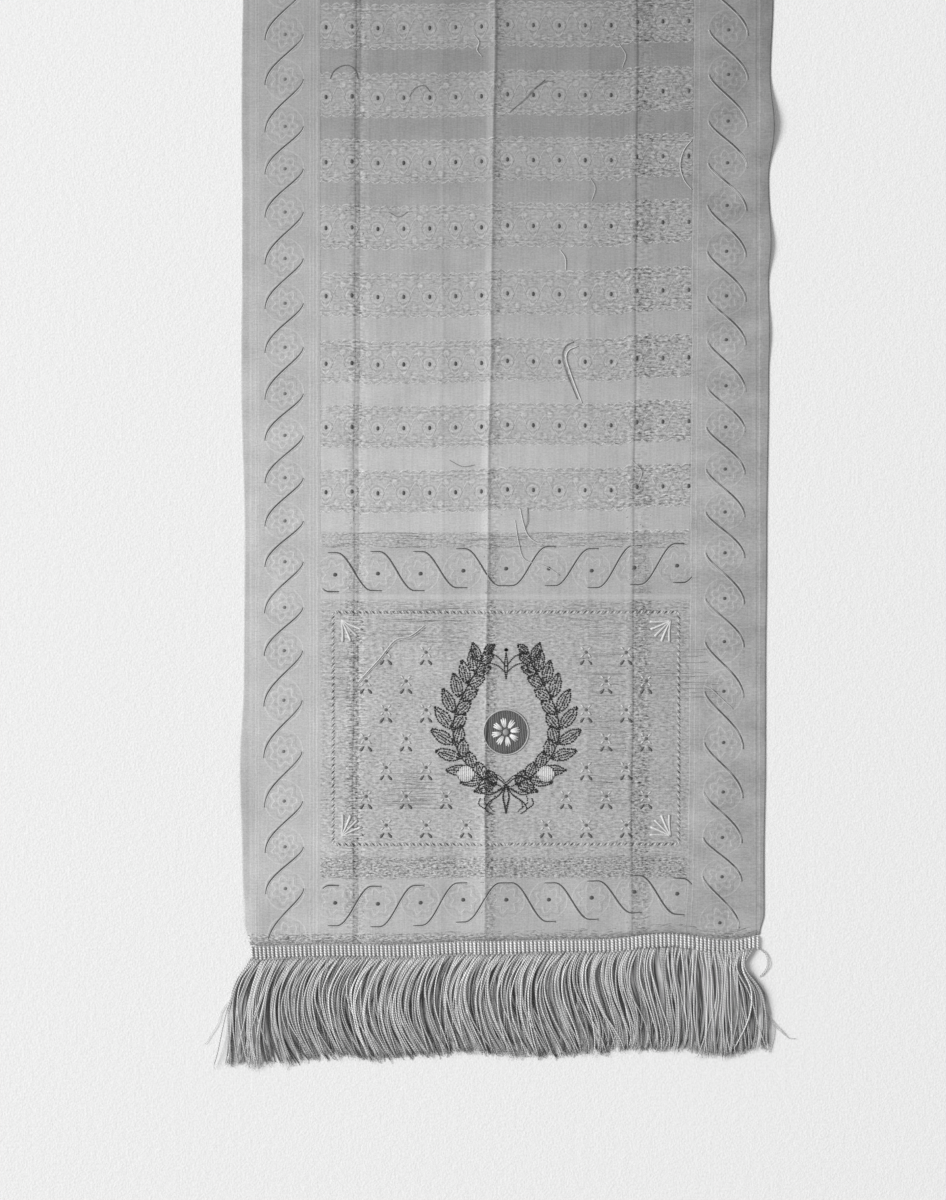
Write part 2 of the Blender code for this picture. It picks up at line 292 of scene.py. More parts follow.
class Pile:
    """Many small closed shapes gathered into one mesh.

    Each point carries its grey, and on a thread the run along it in mm and how far to one side it is.
    """

    def __init__(self):
        self.points = []
        self.faces = []
        self.values = {"grey": [], "run": [], "side": []}
        self.count = 0

    def add(self, points, faces, grey, run=0.0, side=0.0):
        self.points.append(points)
        self.faces.extend([[corner + self.count for corner in face] for face in faces])
        for name, value in (("grey", grey), ("run", run), ("side", side)):
            self.values[name].append(np.broadcast_to(np.asarray(value, float), (len(points),)))
        self.count += len(points)

    def tube(self, path, width, height, grey, sides=4, phase=0.0):
        """A closed tube along a path, with a width across the floor and a height, which may taper."""
        path = np.asarray(path, float)
        count = len(path)
        forward = np.gradient(path, axis=0)
        forward /= np.linalg.norm(forward, axis=1, keepdims=True) + 1e-12
        side = np.stack([forward[:, 1], -forward[:, 0], np.zeros(count)], axis=1)
        side /= np.linalg.norm(side, axis=1, keepdims=True) + 1e-12
        up = np.cross(side, forward)
        width = np.broadcast_to(np.asarray(width, float), (count,))[:, None, None]
        height = np.broadcast_to(np.asarray(height, float), (count,))[:, None, None]
        angle = np.broadcast_to(2 * math.pi * np.arange(sides) / sides + phase, (count, sides))
        ring = path[:, None, :] + side[:, None, :] * np.cos(angle)[..., None] * width / 2
        ring = ring + up[:, None, :] * np.sin(angle)[..., None] * height / 2
        faces = [list(range(sides)), list(range(count * sides - 1, (count - 1) * sides - 1, -1))]
        for step in range(count - 1):
            low = step * sides
            for corner in range(sides):
                after = (corner + 1) % sides
                faces.append([low + corner, low + sides + corner, low + sides + after, low + after])
        grey = np.repeat(np.broadcast_to(np.asarray(grey, float), (count,)), sides)
        run = np.repeat(measured(path), sides)
        self.add(ring.reshape(-1, 3), faces, grey, run, np.cos(angle).reshape(-1))

    def bead(self, centre, heading, length, width, height, grey, corners=8):
        """A low dome on an oval base, turned to a heading."""
        angle = 2 * math.pi * np.arange(corners) / corners
        oval = np.stack([np.cos(angle) * length / 2, np.sin(angle) * width / 2], axis=1)
        c, s = math.cos(heading), math.sin(heading)
        oval = oval @ np.array([[c, s], [-s, c]])
        points = []
        for share, rise in ((1.0, -0.3 * height), (0.9, 0.55 * height), (0.5, height)):
            level = np.full((corners, 1), rise)
            points.append(np.hstack([oval * share, level]) + centre)
        faces = [list(range(corners - 1, -1, -1)), list(range(2 * corners, 3 * corners))]
        for low in (0, corners):
            for corner in range(corners):
                after = (corner + 1) % corners
                faces.append([low + corner, low + after, low + corners + after, low + corners + corner])
        self.add(np.concatenate(points), faces, grey)

    def stitches(self, starts, ends, width, height, grey):
        """Short stitches, each a grain that is thickest in its middle."""
        count = len(starts)
        run = ends - starts
        side = np.stack([run[:, 1], -run[:, 0], np.zeros(count)], axis=1)
        width = np.broadcast_to(np.asarray(width, float), (count,))[:, None]
        side *= width / 2 / (np.linalg.norm(side, axis=1, keepdims=True) + 1e-9)
        middle = (starts + ends) / 2
        up = np.array([0, 0, height])
        corners = [starts, middle - side, ends, middle + side, middle + up, middle - 0.4 * up]
        above = [(corner, (corner + 1) % 4, 4) for corner in range(4)]
        below = [((corner + 1) % 4, corner, 5) for corner in range(4)]
        faces = (np.array(above + below)[None] + 6 * np.arange(count)[:, None, None]).reshape(-1, 3)
        grey = np.repeat(np.broadcast_to(np.asarray(grey, float), (count,)), 6)
        self.add(np.stack(corners, axis=1).reshape(-1, 3), faces.tolist(), grey)

    def make(self, name, material, turn=1):
        """The gathered shapes as one piece, or the same turned half round."""
        values = {value: np.concatenate(lists) for value, lists in self.values.items()}
        points = np.concatenate(self.points) * [turn, turn, 1]
        made = put_mesh(name, points, self.faces, material, values)
        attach(made, "root")
        return made


def feed(tree, value, inlet):
    """Leads a value, worked out or plain, into a node's input."""
    if isinstance(value, Shade):
        tree.links.new(value.socket, inlet)
    else:
        inlet.default_value = value


class Shade:
    """A value that a material works out at each point. Its arithmetic adds Math nodes to the material."""

    def __init__(self, tree, socket):
        self.tree = tree
        self.socket = socket

    def math(self, operation, *others):
        node = self.tree.nodes.new("ShaderNodeMath")
        node.operation = operation
        for place, value in enumerate((self, *others)):
            feed(self.tree, value, node.inputs[place])
        return Shade(self.tree, node.outputs[0])

    def __add__(self, other):
        return self.math("ADD", other)

    def __sub__(self, other):
        return self.math("SUBTRACT", other)

    def __rsub__(self, other):
        return self.math("MULTIPLY", -1.0).math("ADD", other)

    def __mul__(self, other):
        return self.math("MULTIPLY", other)

    def __truediv__(self, other):
        return self.math("DIVIDE", other)

    __radd__ = __add__
    __rmul__ = __mul__

    def size(self):
        return self.math("ABSOLUTE")

    def nearest(self):
        """Signed distance to the nearest whole number."""
        return (self + 0.5).math("FRACT") - 0.5

    def between(self, low, high):
        """0 below the low value and 1 above the high one, with an eased step."""
        node = self.tree.nodes.new("ShaderNodeMapRange")
        node.interpolation_type = "SMOOTHSTEP"
        self.tree.links.new(self.socket, node.inputs["Value"])
        node.inputs["From Min"].default_value = low
        node.inputs["From Max"].default_value = high
        return Shade(self.tree, node.outputs["Result"])

    def within(self, low, high, soft=0.4):
        """1 between two values and 0 outside them."""
        return self.between(low - soft, low + soft) * (1 - self.between(high - soft, high + soft))

    def stroke(self, width, soft=0.25):
        """1 along the line where this distance is 0."""
        return 1 - self.size().between(max(0.0, width / 2 - soft), width / 2 + soft)


def radius(x, y):
    return (x * x + y * y).math("SQRT")


def petalled(x, y):
    """How far a place is from a rosette's middle, and a wave round it that crests at each petal."""
    return radius(x, y), (y.math("ARCTAN2", x) * 7.0).math("COSINE")


class Finish:
    """A Principled material with its coordinates and noises in mm."""

    def __init__(self, name):
        self.material = bpy.data.materials.new(name)
        self.material.use_nodes = True
        self.tree = self.material.node_tree
        self.shader = self.tree.nodes["Principled BSDF"]
        place = self.tree.nodes.new("ShaderNodeTexCoord")
        parts = self.tree.nodes.new("ShaderNodeSeparateXYZ")
        self.tree.links.new(place.outputs["Object"], parts.inputs[0])
        self.x = Shade(self.tree, parts.outputs["X"]) * 1000.0
        self.y = Shade(self.tree, parts.outputs["Y"]) * 1000.0

    def attribute(self, name):
        node = self.tree.nodes.new("ShaderNodeAttribute")
        node.attribute_name = name
        return Shade(self.tree, node.outputs["Fac"])

    def noise(self, x, y, wide, tall, seed, rough=0.5, detail=2.0):
        """Noise between -1 and 1, with grains of a width and a height in mm."""
        joined = self.tree.nodes.new("ShaderNodeCombineXYZ")
        for axis, value in (("X", x / wide), ("Y", y / tall), ("Z", seed)):
            feed(self.tree, value, joined.inputs[axis])
        node = self.tree.nodes.new("ShaderNodeTexNoise")
        for name, value in (("Scale", 1.0), ("Detail", detail), ("Roughness", rough)):
            node.inputs[name].default_value = value
        self.tree.links.new(joined.outputs[0], node.inputs["Vector"])
        return (Shade(self.tree, node.outputs[0]) - 0.5) * 2.6

    def finish(self, grey, roughness, relief, strength=1.0, sheen=0.0):
        """Sets the grey (0 to 1, linear), the roughness and the relief in mm."""
        joined = self.tree.nodes.new("ShaderNodeCombineColor")
        for channel in ("Red", "Green", "Blue"):
            feed(self.tree, grey, joined.inputs[channel])
        bump = self.tree.nodes.new("ShaderNodeBump")
        bump.inputs["Strength"].default_value = strength
        bump.inputs["Distance"].default_value = MM
        feed(self.tree, relief, bump.inputs["Height"])
        self.tree.links.new(joined.outputs[0], self.shader.inputs["Base Color"])
        self.tree.links.new(bump.outputs[0], self.shader.inputs["Normal"])
        feed(self.tree, roughness, self.shader.inputs["Roughness"])
        self.shader.inputs["Sheen Weight"].default_value = sheen
        self.shader.inputs["Sheen Roughness"].default_value = 0.4
        return self.material


# Plain stripes of the borders, in mm across: where, how wide, and how much lighter than the ground.
BORDER_STRIPES = (
    (-159.6, 1.2, 0.2), (-156.6, 0.6, 0.6), (-154.9, 0.5, 0.4), (-122.8, 0.8, 0.55), (-120.6, 0.8, 0.5),
    (-118.4, 1.0, 0.65), (154.9, 0.5, 0.3), (156.3, 0.7, -0.7), (158.1, 0.9, 0.75),
)
# The right border's inner stripes, measured from the middle of its rosettes.
INNER_STRIPES = ((-20.9, 0.9, 0.75), (-17.8, 0.8, 0.7), (-14.9, 0.6, 0.3))
FIELD_RIGHT = -21.6
SELVEDGE_STRIPS = ((-170.0, -161.2, 0.09), (159.0, 172.0, 0.04))

# Lines along the folds, partly crease wear and partly painted shade and painted light of the folds' sides, in
# mm: how dark (below zero is light), how wide and how far to its right.
WEAR_AND_SHADE_LINES = table(
    ("fold", "dark", "wide", "aside"),
    ("left_valley", 0.24, 3.2, 1.2), ("left_valley", 0.13, 0.8, -0.2), ("left_valley", 0.07, 0.5, 2.8),
    ("left_valley", -0.06, 5.0, 6.0), ("left_crest", 0.04, 1.6, 1.0), ("ridge", 0.06, 0.7, 1.6),
    ("right_crest", 0.04, 1.4, 1.0), ("right_valley", 0.2, 0.8, 0.2), ("right_valley", -0.07, 4.2, -2.9),
)
# Where the figured ground is worn rough beside a fold and darkened there, as wear beside the right valley and
# as painted shade on the ridge's right flank: its middle, half its width and how dark.
WEAR_AND_SHADE_PATCHES = table(
    ("fold", "aside", "reach", "dark"),
    ("left_valley", 1.0, 6.0, 0.0), ("ridge", 3.4, 3.6, 0.11), ("right_valley", 5.0, 6.0, 0.15),
)
# A painted highlight on the ridge's left flank, which faces the light: where it lies beside the fold, its
# width and how much lighter.
RIDGE_HIGHLIGHT = {"aside": -2.0, "wide": 4.4, "light": 0.12}
SCALLOP_PITCH = 6.07
# The weave's own pitches and relief, in mm.
WEAVE = {"across": 0.62, "along": 0.5, "relief": 0.012}
# Zones along the cloth, in mm from its sewn end: where each starts and ends, and how softly.
ZONES = {
    "upper row": (216.5, 245.0, 0.8),
    "lower row": (5.0, 38.8, 0.8),
    "head": (53.0, 212.5, 0.8),
    "rough below": (39.0, 52.0, 1.5),
    "rough above": (245.0, 255.0, 0.8),
    "satin": (254.8, 267.3, 0.5),
    "satin line": (213.3, 216.2, 0.4),
    "upper streaks": (186.0, 212.0, 5.0),
    "middle streaks": (150.0, 181.0, 6.0),
    "lower streaks": (84.0, 104.0, 5.0),
}
# Threads pull the design about by a fraction of a millimetre, by these noises.
PULLS = {"across": (14.0, 5.0, 1.0), "along": (9.0, 6.0, 2.0)}
# Noises of the silk: the grain's size across and along in mm, its seed and its roughness.
NOISES = {
    "grain": (1.2, 0.9, 5.0, 0.6),
    "weft": (7.0, 0.8, 6.0, 0.6),
    "warp": (1.1, 40.0, 10.0, 0.6),
    "cloudy": (26.0, 18.0, 7.0, 0.5),
    "mottle": (3.4, 1.3, 12.0, 0.6),
    "speckle": (2.1, 0.9, 8.0, 0.7),
    "streaks": (55.0, 1.0, 9.0, 0.6),
    "blotch": (5.5, 4.0, 13.0, 0.5),
}


class Silk(Finish):
    """The cloth's material: figured ground, satin bands, faint light outlines, and wear."""

    def __init__(self):
        super().__init__("silk_ground")
        turn = self.y.math("LESS_THAN", 0.0) * 2.0 - 1.0
        self.across = self.x * turn
        self.along = CLOTH_END - self.y.size()
        self.noises = {name: self.noise(self.across, self.along, *grain) for name, grain in NOISES.items()}
        self.pulled = self.across + self.noise(self.across, self.along, *PULLS["across"]) * 0.5
        self.raised = self.along + self.noise(self.across, self.along, *PULLS["along"]) * 0.55
        self.from_border = self.pulled - self.attribute("right_centre")
        field = self.across.between(-FIELD_EDGE - 0.5, -FIELD_EDGE + 0.5)
        self.in_field = field * (1 - self.from_border.between(FIELD_RIGHT - 0.5, FIELD_RIGHT + 0.5))
        self.outside = 1 - self.in_field
        self.in_bands = self.in_field * self.along.between(254.3, 255.3)
        self.in_rows = self.in_field * (self.zone("upper row") + self.zone("lower row"))
        self.in_head = self.in_field * self.zone("head")

    def zone(self, name):
        return self.along.within(*ZONES[name])

    def borders(self):
        """Light and shade of the borders: a rosette and a ring on each place, and stripes beside them."""
        light = shade = 0.0
        for side in ("left", "right"):
            dy = self.attribute(side + "_count").nearest() * BORDER_PITCH + (self.raised - self.along)
            away, petals = petalled(self.pulled - self.attribute(side + "_centre"), dy)
            inside = away.between(14.5, 13.5)
            flower = (away - 7.2 - petals * 1.3).stroke(0.9, 0.5) + (away - 3.4).stroke(0.8, 0.4) * 0.7
            cells = (away - 5.2).stroke(1.7, 0.7) * petals.between(-0.2, 0.7)
            light = light + (flower + (away - 12.2).stroke(0.8, 0.4) * 0.8) * inside
            shade = shade + (cells + (away - 9.6 - petals * 1.3).stroke(0.8, 0.5) * 0.8) * inside
        light, shade = light * self.outside, shade * self.outside
        for stripes, from_zero in ((BORDER_STRIPES, self.pulled), (INNER_STRIPES, self.from_border)):
            for place, width, level in stripes:
                light = light + (from_zero - place).stroke(width, 0.3) * level
        for rule_away in (self.pulled + FIELD_EDGE, self.from_border - FIELD_RIGHT):
            shade = shade + rule_away.stroke(0.7, 0.3) * self.along.between(252.0, 256.0) * 0.9
        return light, shade

    def bands(self):
        """Light, shade, shape and rough edges of the field's bands.

        Each is a row of eyes under running arches, with buds and leaves, between scalloped edges.
        """
        dy = self.attribute("row_count").nearest() * FIELD_PITCH + (self.raised - self.along)
        dy = dy - self.attribute("row_drift")
        middle = (dy - 0.8).size()
        steps = (self.pulled - FIELD_DOTS["first"]) / FIELD_DOTS["pitch"]
        away = radius(steps.nearest() * FIELD_DOTS["pitch"], dy)
        swing = dy - ((steps.math("FRACT") - 0.5) * (2 * math.pi)).math("COSINE") * 6.4
        bud = radius((steps - 0.66).nearest() * FIELD_DOTS["pitch"], dy - 6.9)
        leaf_away = radius((steps - 0.43).nearest() * FIELD_DOTS["pitch"], (dy + 7.3) * 0.7)
        caps = (self.pulled * (math.pi / SCALLOP_PITCH)).math("SINE").size()
        edge = middle - 12.1 - caps.math("POWER", 0.6) * 1.95
        figured = 1 - edge.between(-0.3, 0.3)
        light = (away - 3.1).stroke(1.0, 0.4) * 0.8 + (away - 5.6).stroke(0.8, 0.4) * 0.3
        light = light + swing.stroke(1.3, 0.5) * 0.8
        light = light + 1.0 - bud.between(1.2, 2.0) + (1 - leaf_away.between(1.0, 1.8)) * 0.7
        light = light + (edge + 0.4).stroke(0.8, 0.35) + (middle - 10.6).stroke(0.6, 0.3) * 0.7
        shade = (away - 4.3).stroke(0.6, 0.35) + (swing.size() - 1.2).stroke(0.5, 0.4) * 0.7
        shade = shade + (bud - 2.5).stroke(0.6, 0.4) * 0.8 + (middle - 9.9).stroke(0.6, 0.3) * 0.8
        shade = shade + (edge + 1.3).stroke(0.7, 0.35) * 0.8 + (leaf_away - 2.3).stroke(0.6, 0.4) * 0.7
        shown = figured * self.in_bands
        return light * shown, shade * shown, figured, middle.between(4.5, 9.0)

    def head_rows(self):
        """Light and shade of the rosettes round the large dots, above and below the head panel."""
        light = shade = 0.0
        for name in ("upper_row", "lower_row"):
            steps = (self.pulled - HEAD_CENTRE) / HEAD_ROW_PITCH
            away, petals = petalled(steps.nearest() * HEAD_ROW_PITCH, self.raised - self.attribute(name))
            inside = away.between(14.0, 13.0) * self.in_rows
            flower = (away - 7.0 - petals * 1.3).stroke(0.9, 0.5) + (away - 11.8).stroke(0.8, 0.4) * 0.8
            light = light + flower * inside
            shade = shade + (away - 9.2 - petals * 1.3).stroke(0.8, 0.5) * inside
        return light, shade

    def wear(self):
        """How worn the cloth is beside its folds, how dark its lines along the folds are, which are partly
        wear and partly painted shade and light, and how much its figured ground is darkened, as wear and as
        painted shade.
        """
        worn = lines = dulled_and_shaded = 0.0
        for line in WEAR_AND_SHADE_LINES:
            away = self.x - self.attribute(line["fold"]) - line["aside"]
            lines = lines + away.stroke(line["wide"], 0.4) * line["dark"]
        for patch in WEAR_AND_SHADE_PATCHES:
            away = self.x - self.attribute(patch["fold"]) - patch["aside"]
            broad = 1 - away.size().between(0.5 * patch["reach"], 1.3 * patch["reach"])
            worn = broad.math("MAXIMUM", worn)
            dulled_and_shaded = dulled_and_shaded + broad * patch["dark"]
        return worn, lines, dulled_and_shaded

    def streaked(self):
        """Where the head panel's weft is worn into streaks."""
        aside = self.across.size()
        middle = self.zone("middle streaks") * aside.between(58.0, 70.0)
        lower = self.zone("lower streaks") * aside.between(52.0, 64.0)
        return self.in_head * (self.zone("upper streaks") + middle + lower)


def silk_ground():
    """The cloth's grey, relief, roughness and sheen; its grey also carries painted shade, painted highlights
    and a painted lamp falloff.
    """
    silk = Silk()
    grain, weft, warp, cloudy, mottle, speckle, streaks, blotch = silk.noises.values()
    along, outside, in_rows, in_head = silk.along, silk.outside, silk.in_rows, silk.in_head
    light, shade = silk.borders()
    band_light, band_shade, figured, rough_edge = silk.bands()
    row_light, row_shade = silk.head_rows()
    light = light + band_light + row_light
    shade = shade + band_shade + row_shade

    satin = silk.in_bands * (1 - figured) * along.between(266.5, 267.5)
    satin = satin + silk.in_bands * silk.zone("satin") + silk.in_field * silk.zone("satin line")
    satin = satin.math("MINIMUM", 1.0)
    ground = 1 - satin

    # Wear along the folds and at the raw end, with rough weft above and below the head's rows. Along the
    # folds the grey also carries painted shade and painted light.
    worn, wear_and_shade_lines, dulled_and_shaded = silk.wear()
    # Painted highlight along the ridge's left flank, stronger on satin.
    ridge_highlight = (silk.x - silk.attribute("ridge") - RIDGE_HIGHLIGHT["aside"]).stroke(RIDGE_HIGHLIGHT["wide"], 0.6)
    ridge_highlight = ridge_highlight * RIDGE_HIGHLIGHT["light"] * (0.4 + satin * 0.6)
    streak_zone = silk.streaked()
    figured_zone = silk.in_bands * figured
    raw_end = 1 - along.between(2.0, 6.0)
    low_rough = silk.in_field * silk.zone("rough below")
    rough_zone = silk.in_field * silk.zone("rough above") * 0.8 + low_rough
    rough_zone = rough_zone + worn * figured_zone * 0.15 + worn * (in_rows + in_head) * 0.6 + raw_end * 0.8
    rough_zone = rough_zone.math("MINIMUM", 1.0)
    right_side = silk.across.between(40.0, 90.0)

    # The tone: the weave's own unevenness, wear, figures and satin, painted shade and painted light along the
    # folds, a slow darkening up the cloth, and a painted lamp falloff across it.
    tone = 1 + grain * 0.23 + weft * 0.12 + warp * 0.12 + cloudy * 0.12
    tone = tone + speckle * (rough_zone * 0.95 + low_rough * 0.5 + raw_end * 0.6)
    tone = tone - rough_zone * 0.03 - raw_end * 0.06 - low_rough * 0.1 + worn * mottle * 0.4
    # Figured ground darkened beside the folds, as wear and as painted shade on the ridge's right flank; then
    # the ridge's painted highlight.
    tone = tone - dulled_and_shaded * (ground - outside) * (1 + mottle * 0.6 + blotch * 0.9) + ridge_highlight - in_head * 0.03
    tone = tone + streaks * streak_zone * 0.07 - streak_zone * 0.03
    dashes = figured_zone * (0.6 + rough_edge * 0.75) + in_rows * 0.25 + in_head * 1.25
    tone = tone + (speckle * 0.38 + mottle * 0.4) * dashes
    tone = tone + (speckle + mottle) * figured_zone * right_side * (0.4 - worn * 0.1)
    border_tone = mottle * (0.06 + right_side * 0.12) + speckle * 0.08 + cloudy * right_side * 0.16
    tone = tone + border_tone * outside
    tone = tone + (light * 0.2 - shade * 0.17) * (1 + mottle * 0.7) * (1 - outside * 0.15 - in_rows * 0.3)
    tone = tone + satin * (0.12 - along.between(310.0, 550.0) * 0.29)
    for low, high, darker in SELVEDGE_STRIPS:
        tone = tone - silk.across.within(low, high, 0.4) * darker
    # Lines along the folds: crease wear, and painted shade and painted light of the folds' sides.
    tone = tone - wear_and_shade_lines * (1 + mottle * 0.6)
    fade_up = 1.045 - along.between(240.0, 700.0) * 0.387
    # Painted lamp falloff: lighter at the cloth's left and darker at its right, dying out between 650 and
    # 1400 mm from each end.
    painted_lamp_falloff = 1 - silk.across * (0.155 / 165.0) * (1 - along.between(650.0, 1400.0))
    grey = tone * fade_up * painted_lamp_falloff * 0.43

    warps, wefts = (
        (place * (2 * math.pi / pitch)).math("SINE")
        for place, pitch in ((silk.pulled, WEAVE["across"]), (silk.raised, WEAVE["along"]))
    )
    relief = warps * wefts * WEAVE["relief"] + grain * 0.03 * ground + weft * 0.02
    relief = relief + light * 0.09 - shade * 0.04 + speckle * rough_zone * 0.14 + mottle * figured_zone * 0.06
    relief = relief + speckle * figured_zone * 0.04 + streaks * streak_zone * 0.05 + ground * 0.06
    roughness = 0.62 - satin * 0.16 + grain * 0.03
    return silk.finish(grey, roughness, relief, sheen=0.15)


def plain_thread(name, roughness, ply=0.9, sheen=0.1, twisted=0.2):
    """Silk threads with their own greys, with the slanted ply of a twist and a little unevenness."""
    thread = Finish(name)
    mottle = thread.noise(thread.x, thread.y, 2.2, 2.2, 11.0)
    twist = (thread.attribute("run") * (2 * math.pi / ply) + thread.attribute("side") * 1.6).math("SINE")
    grey = thread.attribute("grey") * (1 + mottle * 0.1 + twist * twisted)
    return thread.finish(grey, roughness, twist * 0.06 + mottle * 0.02, 0.8, sheen)


def paper():
    """Pale textured paper."""
    sheet = Finish("paper")
    cockle = sheet.noise(sheet.x, sheet.y, 5.0, 5.0, 21.0, 0.6, detail=3.0)
    tooth = sheet.noise(sheet.x, sheet.y, 1.3, 1.3, 22.0, 0.6)
    return sheet.finish(0.86 + cockle * 0.012 + tooth * 0.1, 0.9, cockle * 0.09 + tooth * 0.09)


def make_cloth():
    """The woven length as one thin shell, with columns along every fold."""
    half = [CLOTH_END]
    while half[-1] > 0:
        close = CLOTH_END - half[-1] < CLOSE_ROWS
        half.append(half[-1] - ROW_STEP["close" if close else "beyond"])
    half[-1] = 0.0
    y = np.array([-place for place in half[:-1]] + half[::-1])
    columns = []
    for from_line, to_line, count in zip(LINES, LINES[1:], COLUMNS):
        start, end = line_at(from_line, y), line_at(to_line, y)
        share = np.arange(count) / count
        share = share - CLUSTER * np.sin(2 * math.pi * share) / (2 * math.pi)
        columns.append(start[:, None] + (end - start)[:, None] * share[None, :])
    columns.append(line_at("right selvedge", y)[:, None])
    x = np.concatenate(columns, axis=1)
    y = np.broadcast_to(y[:, None], x.shape)
    turn = np.where(y < 0, 1.0, -1.0)
    points = np.stack([x, y - turn * end_wander(turn * x, from_end(y)), cloth_top(x, y)], axis=-1)
    rows, count = x.shape
    corner = (np.arange(rows - 1)[:, None] * count + np.arange(count - 1)[None, :]).reshape(-1)
    faces = np.stack([corner, corner + 1, corner + count + 1, corner + count], axis=1)
    cloth = put_mesh(
        "cloth_figured", points.reshape(-1, 3), faces.tolist(), silk_ground(),
        design_values((turn * x).reshape(-1), y.reshape(-1)),
    )
    shell = cloth.modifiers.new("thickness", "SOLIDIFY")
    shell.thickness = SHELL * MM
    shell.offset = -1.0
    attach(cloth, "root")
    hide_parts("sash_cloth")
    return cloth


def design_values(across, y):
    """Where the folds and the design's rows lie, at each of the cloth's points."""
    along = from_end(y)
    bands = field_rows()
    values = {
        "row_count": np.interp(along, [bands[0] - FIELD_PITCH, *bands], np.arange(len(bands) + 1)),
        "row_drift": eased(ROW_DRIFT, "across", "rise", across),
    }
    for side in ("left", "right"):
        rows = border_rows(side)
        values[side + "_count"] = np.interp(along, rows, np.arange(len(rows)))
        values[side + "_centre"] = eased(BORDERS, "along", side, along)
    for name in ("upper", "lower"):
        values[name + "_row"] = eased(HEAD_ROW_LINES, "across", name, across)
    for fold in FOLDS:
        values[fold["name"].replace(" ", "_")] = line_at(fold["name"], y)
    return values


def bent(points, count):
    """A smooth curve through a few given points, as many points long as asked."""
    points = np.asarray(points, float)
    ends = np.vstack([2 * points[0] - points[1], points, 2 * points[-1] - points[-2]])
    at = np.linspace(0, len(points) - 1 - 1e-9, count)
    low = np.floor(at).astype(int)
    t = (at - low)[:, None]
    a, b, c, d = (ends[low + step] for step in range(4))
    square = (2 * a - 5 * b + 4 * c - d) * t ** 2
    cube = (3 * b - a - 3 * c + d) * t ** 3
    return 0.5 * (2 * b + (c - a) * t + square + cube)


# Linear greys of the threads that draw the figures.
DARK = 0.078
MIDDLE = 0.2
PALE = 0.6

# The S between two rosettes of a border runs a little past its step, and turns soonest near its start.
BORDER_S = {"past": 1.13, "early": 0.8}
# The S's two ends, across from the rosettes' middles in mm, how worn it is, and how grey the dots are.
BORDER_SCROLLS = {
    "left": {"start": -12.4, "end": 11.6, "worn": 0.2, "dot": 2.4},
    "right": {"start": 12.6, "end": -11.6, "worn": 1.0, "dot": 1.2},
}

# The S between two rosettes of a head row, from the first rosette, in mm.
HEAD_S = {"start": -4.6, "turn": 1.0, "settle": 23.0, "end": 29.2, "top": 13.8, "foot": -10.6}
HEAD_ROW_PITCH = 26.7
HEAD_ROW_SIDE = 4
HEAD_ROWS = (("upper", 1), ("lower", -1))
HEAD_CENTRE = -0.6


def scroll_line(pile, across, along, turn, worn=0.0):
    """A dark S, thickest in its middle, with a fine light line beside it."""
    share = np.linspace(0, 1, len(across))
    swell = 0.62 + 0.38 * np.sin(math.pi * share) ** 0.8
    loss = worn * np.maximum(0.0, lumps(across, along, 5.0, 62) - 0.1)
    grey = DARK * (1.6 - 0.6 * np.sin(math.pi * share)) + 0.5 * loss
    pile.tube(placed(across, along, turn, 0.06), 0.88 * swell, 0.32 * swell, grey)
    run = np.stack([np.gradient(across), np.gradient(along)])
    aside = np.array([run[1], -run[0]]) / (np.hypot(*run) + 1e-9)
    aside = aside * np.where(aside[1:] > 0, -1, 1) * 0.85
    pile.tube(placed(across + aside[0], along + aside[1], turn, 0.03), 0.45, 0.2, PALE)


def border_scroll(count):
    """The border's S as shares of its width and of the step between two rosettes."""
    down = np.linspace(0.0, 1.0, count)
    aside = 0.5 + 0.5 * np.cos(math.pi * down ** BORDER_S["early"])
    return np.stack([aside, BORDER_S["past"] * down], axis=1)


def head_scroll(count):
    """The head row's S: level, then an eased fall, then level again."""
    across = np.linspace(HEAD_S["start"], HEAD_S["end"], count)
    fall = np.clip((across - HEAD_S["turn"]) / (HEAD_S["settle"] - HEAD_S["turn"]), 0.0, 1.0)
    along = HEAD_S["foot"] + (HEAD_S["top"] - HEAD_S["foot"]) * (0.5 + 0.5 * np.cos(math.pi * fall))
    return np.stack([across, along], axis=1)


def weave_borders(dark, turn):
    """The scrolls and dots of both borders."""
    shape = border_scroll(20)
    for side, scroll in BORDER_SCROLLS.items():
        rows = border_rows(side)
        for low, high in zip(rows, rows[1:]):
            along = high - (high - low) * shape[:, 1]
            centre = eased(BORDERS, "along", side, along)
            across = centre + (scroll["start"] + (scroll["end"] - scroll["start"]) * shape[:, 0])
            keep = (along > 3.0) & (along < CLOTH_END)
            if low < CLOTH_END - 5 and keep.sum() > 6:
                scroll_line(dark, across[keep], along[keep], turn, scroll["worn"])
        for row in rows:
            if 3.0 < row < CLOTH_END:
                spot = placed(eased(BORDERS, "along", side, row), row, turn)
                dark.bead(spot, 0.4, 2.5, 2.2, 0.3, DARK * scroll["dot"])


def weave_field(dark, turn):
    """The field's rows of dark dots."""
    for row in field_rows():
        if row > CLOTH_END - 2:
            continue
        for number in range(FIELD_DOTS["count"]):
            across = FIELD_DOTS["first"] + number * FIELD_DOTS["pitch"]
            spot = placed(across, row + eased(ROW_DRIFT, "across", "rise", across), turn)
            grey = DARK * (1.1 + 0.25 * math.sin(9.1 * number + row))
            dark.bead(spot, math.pi / 2, 3.1, 2.1, 0.35, grey)


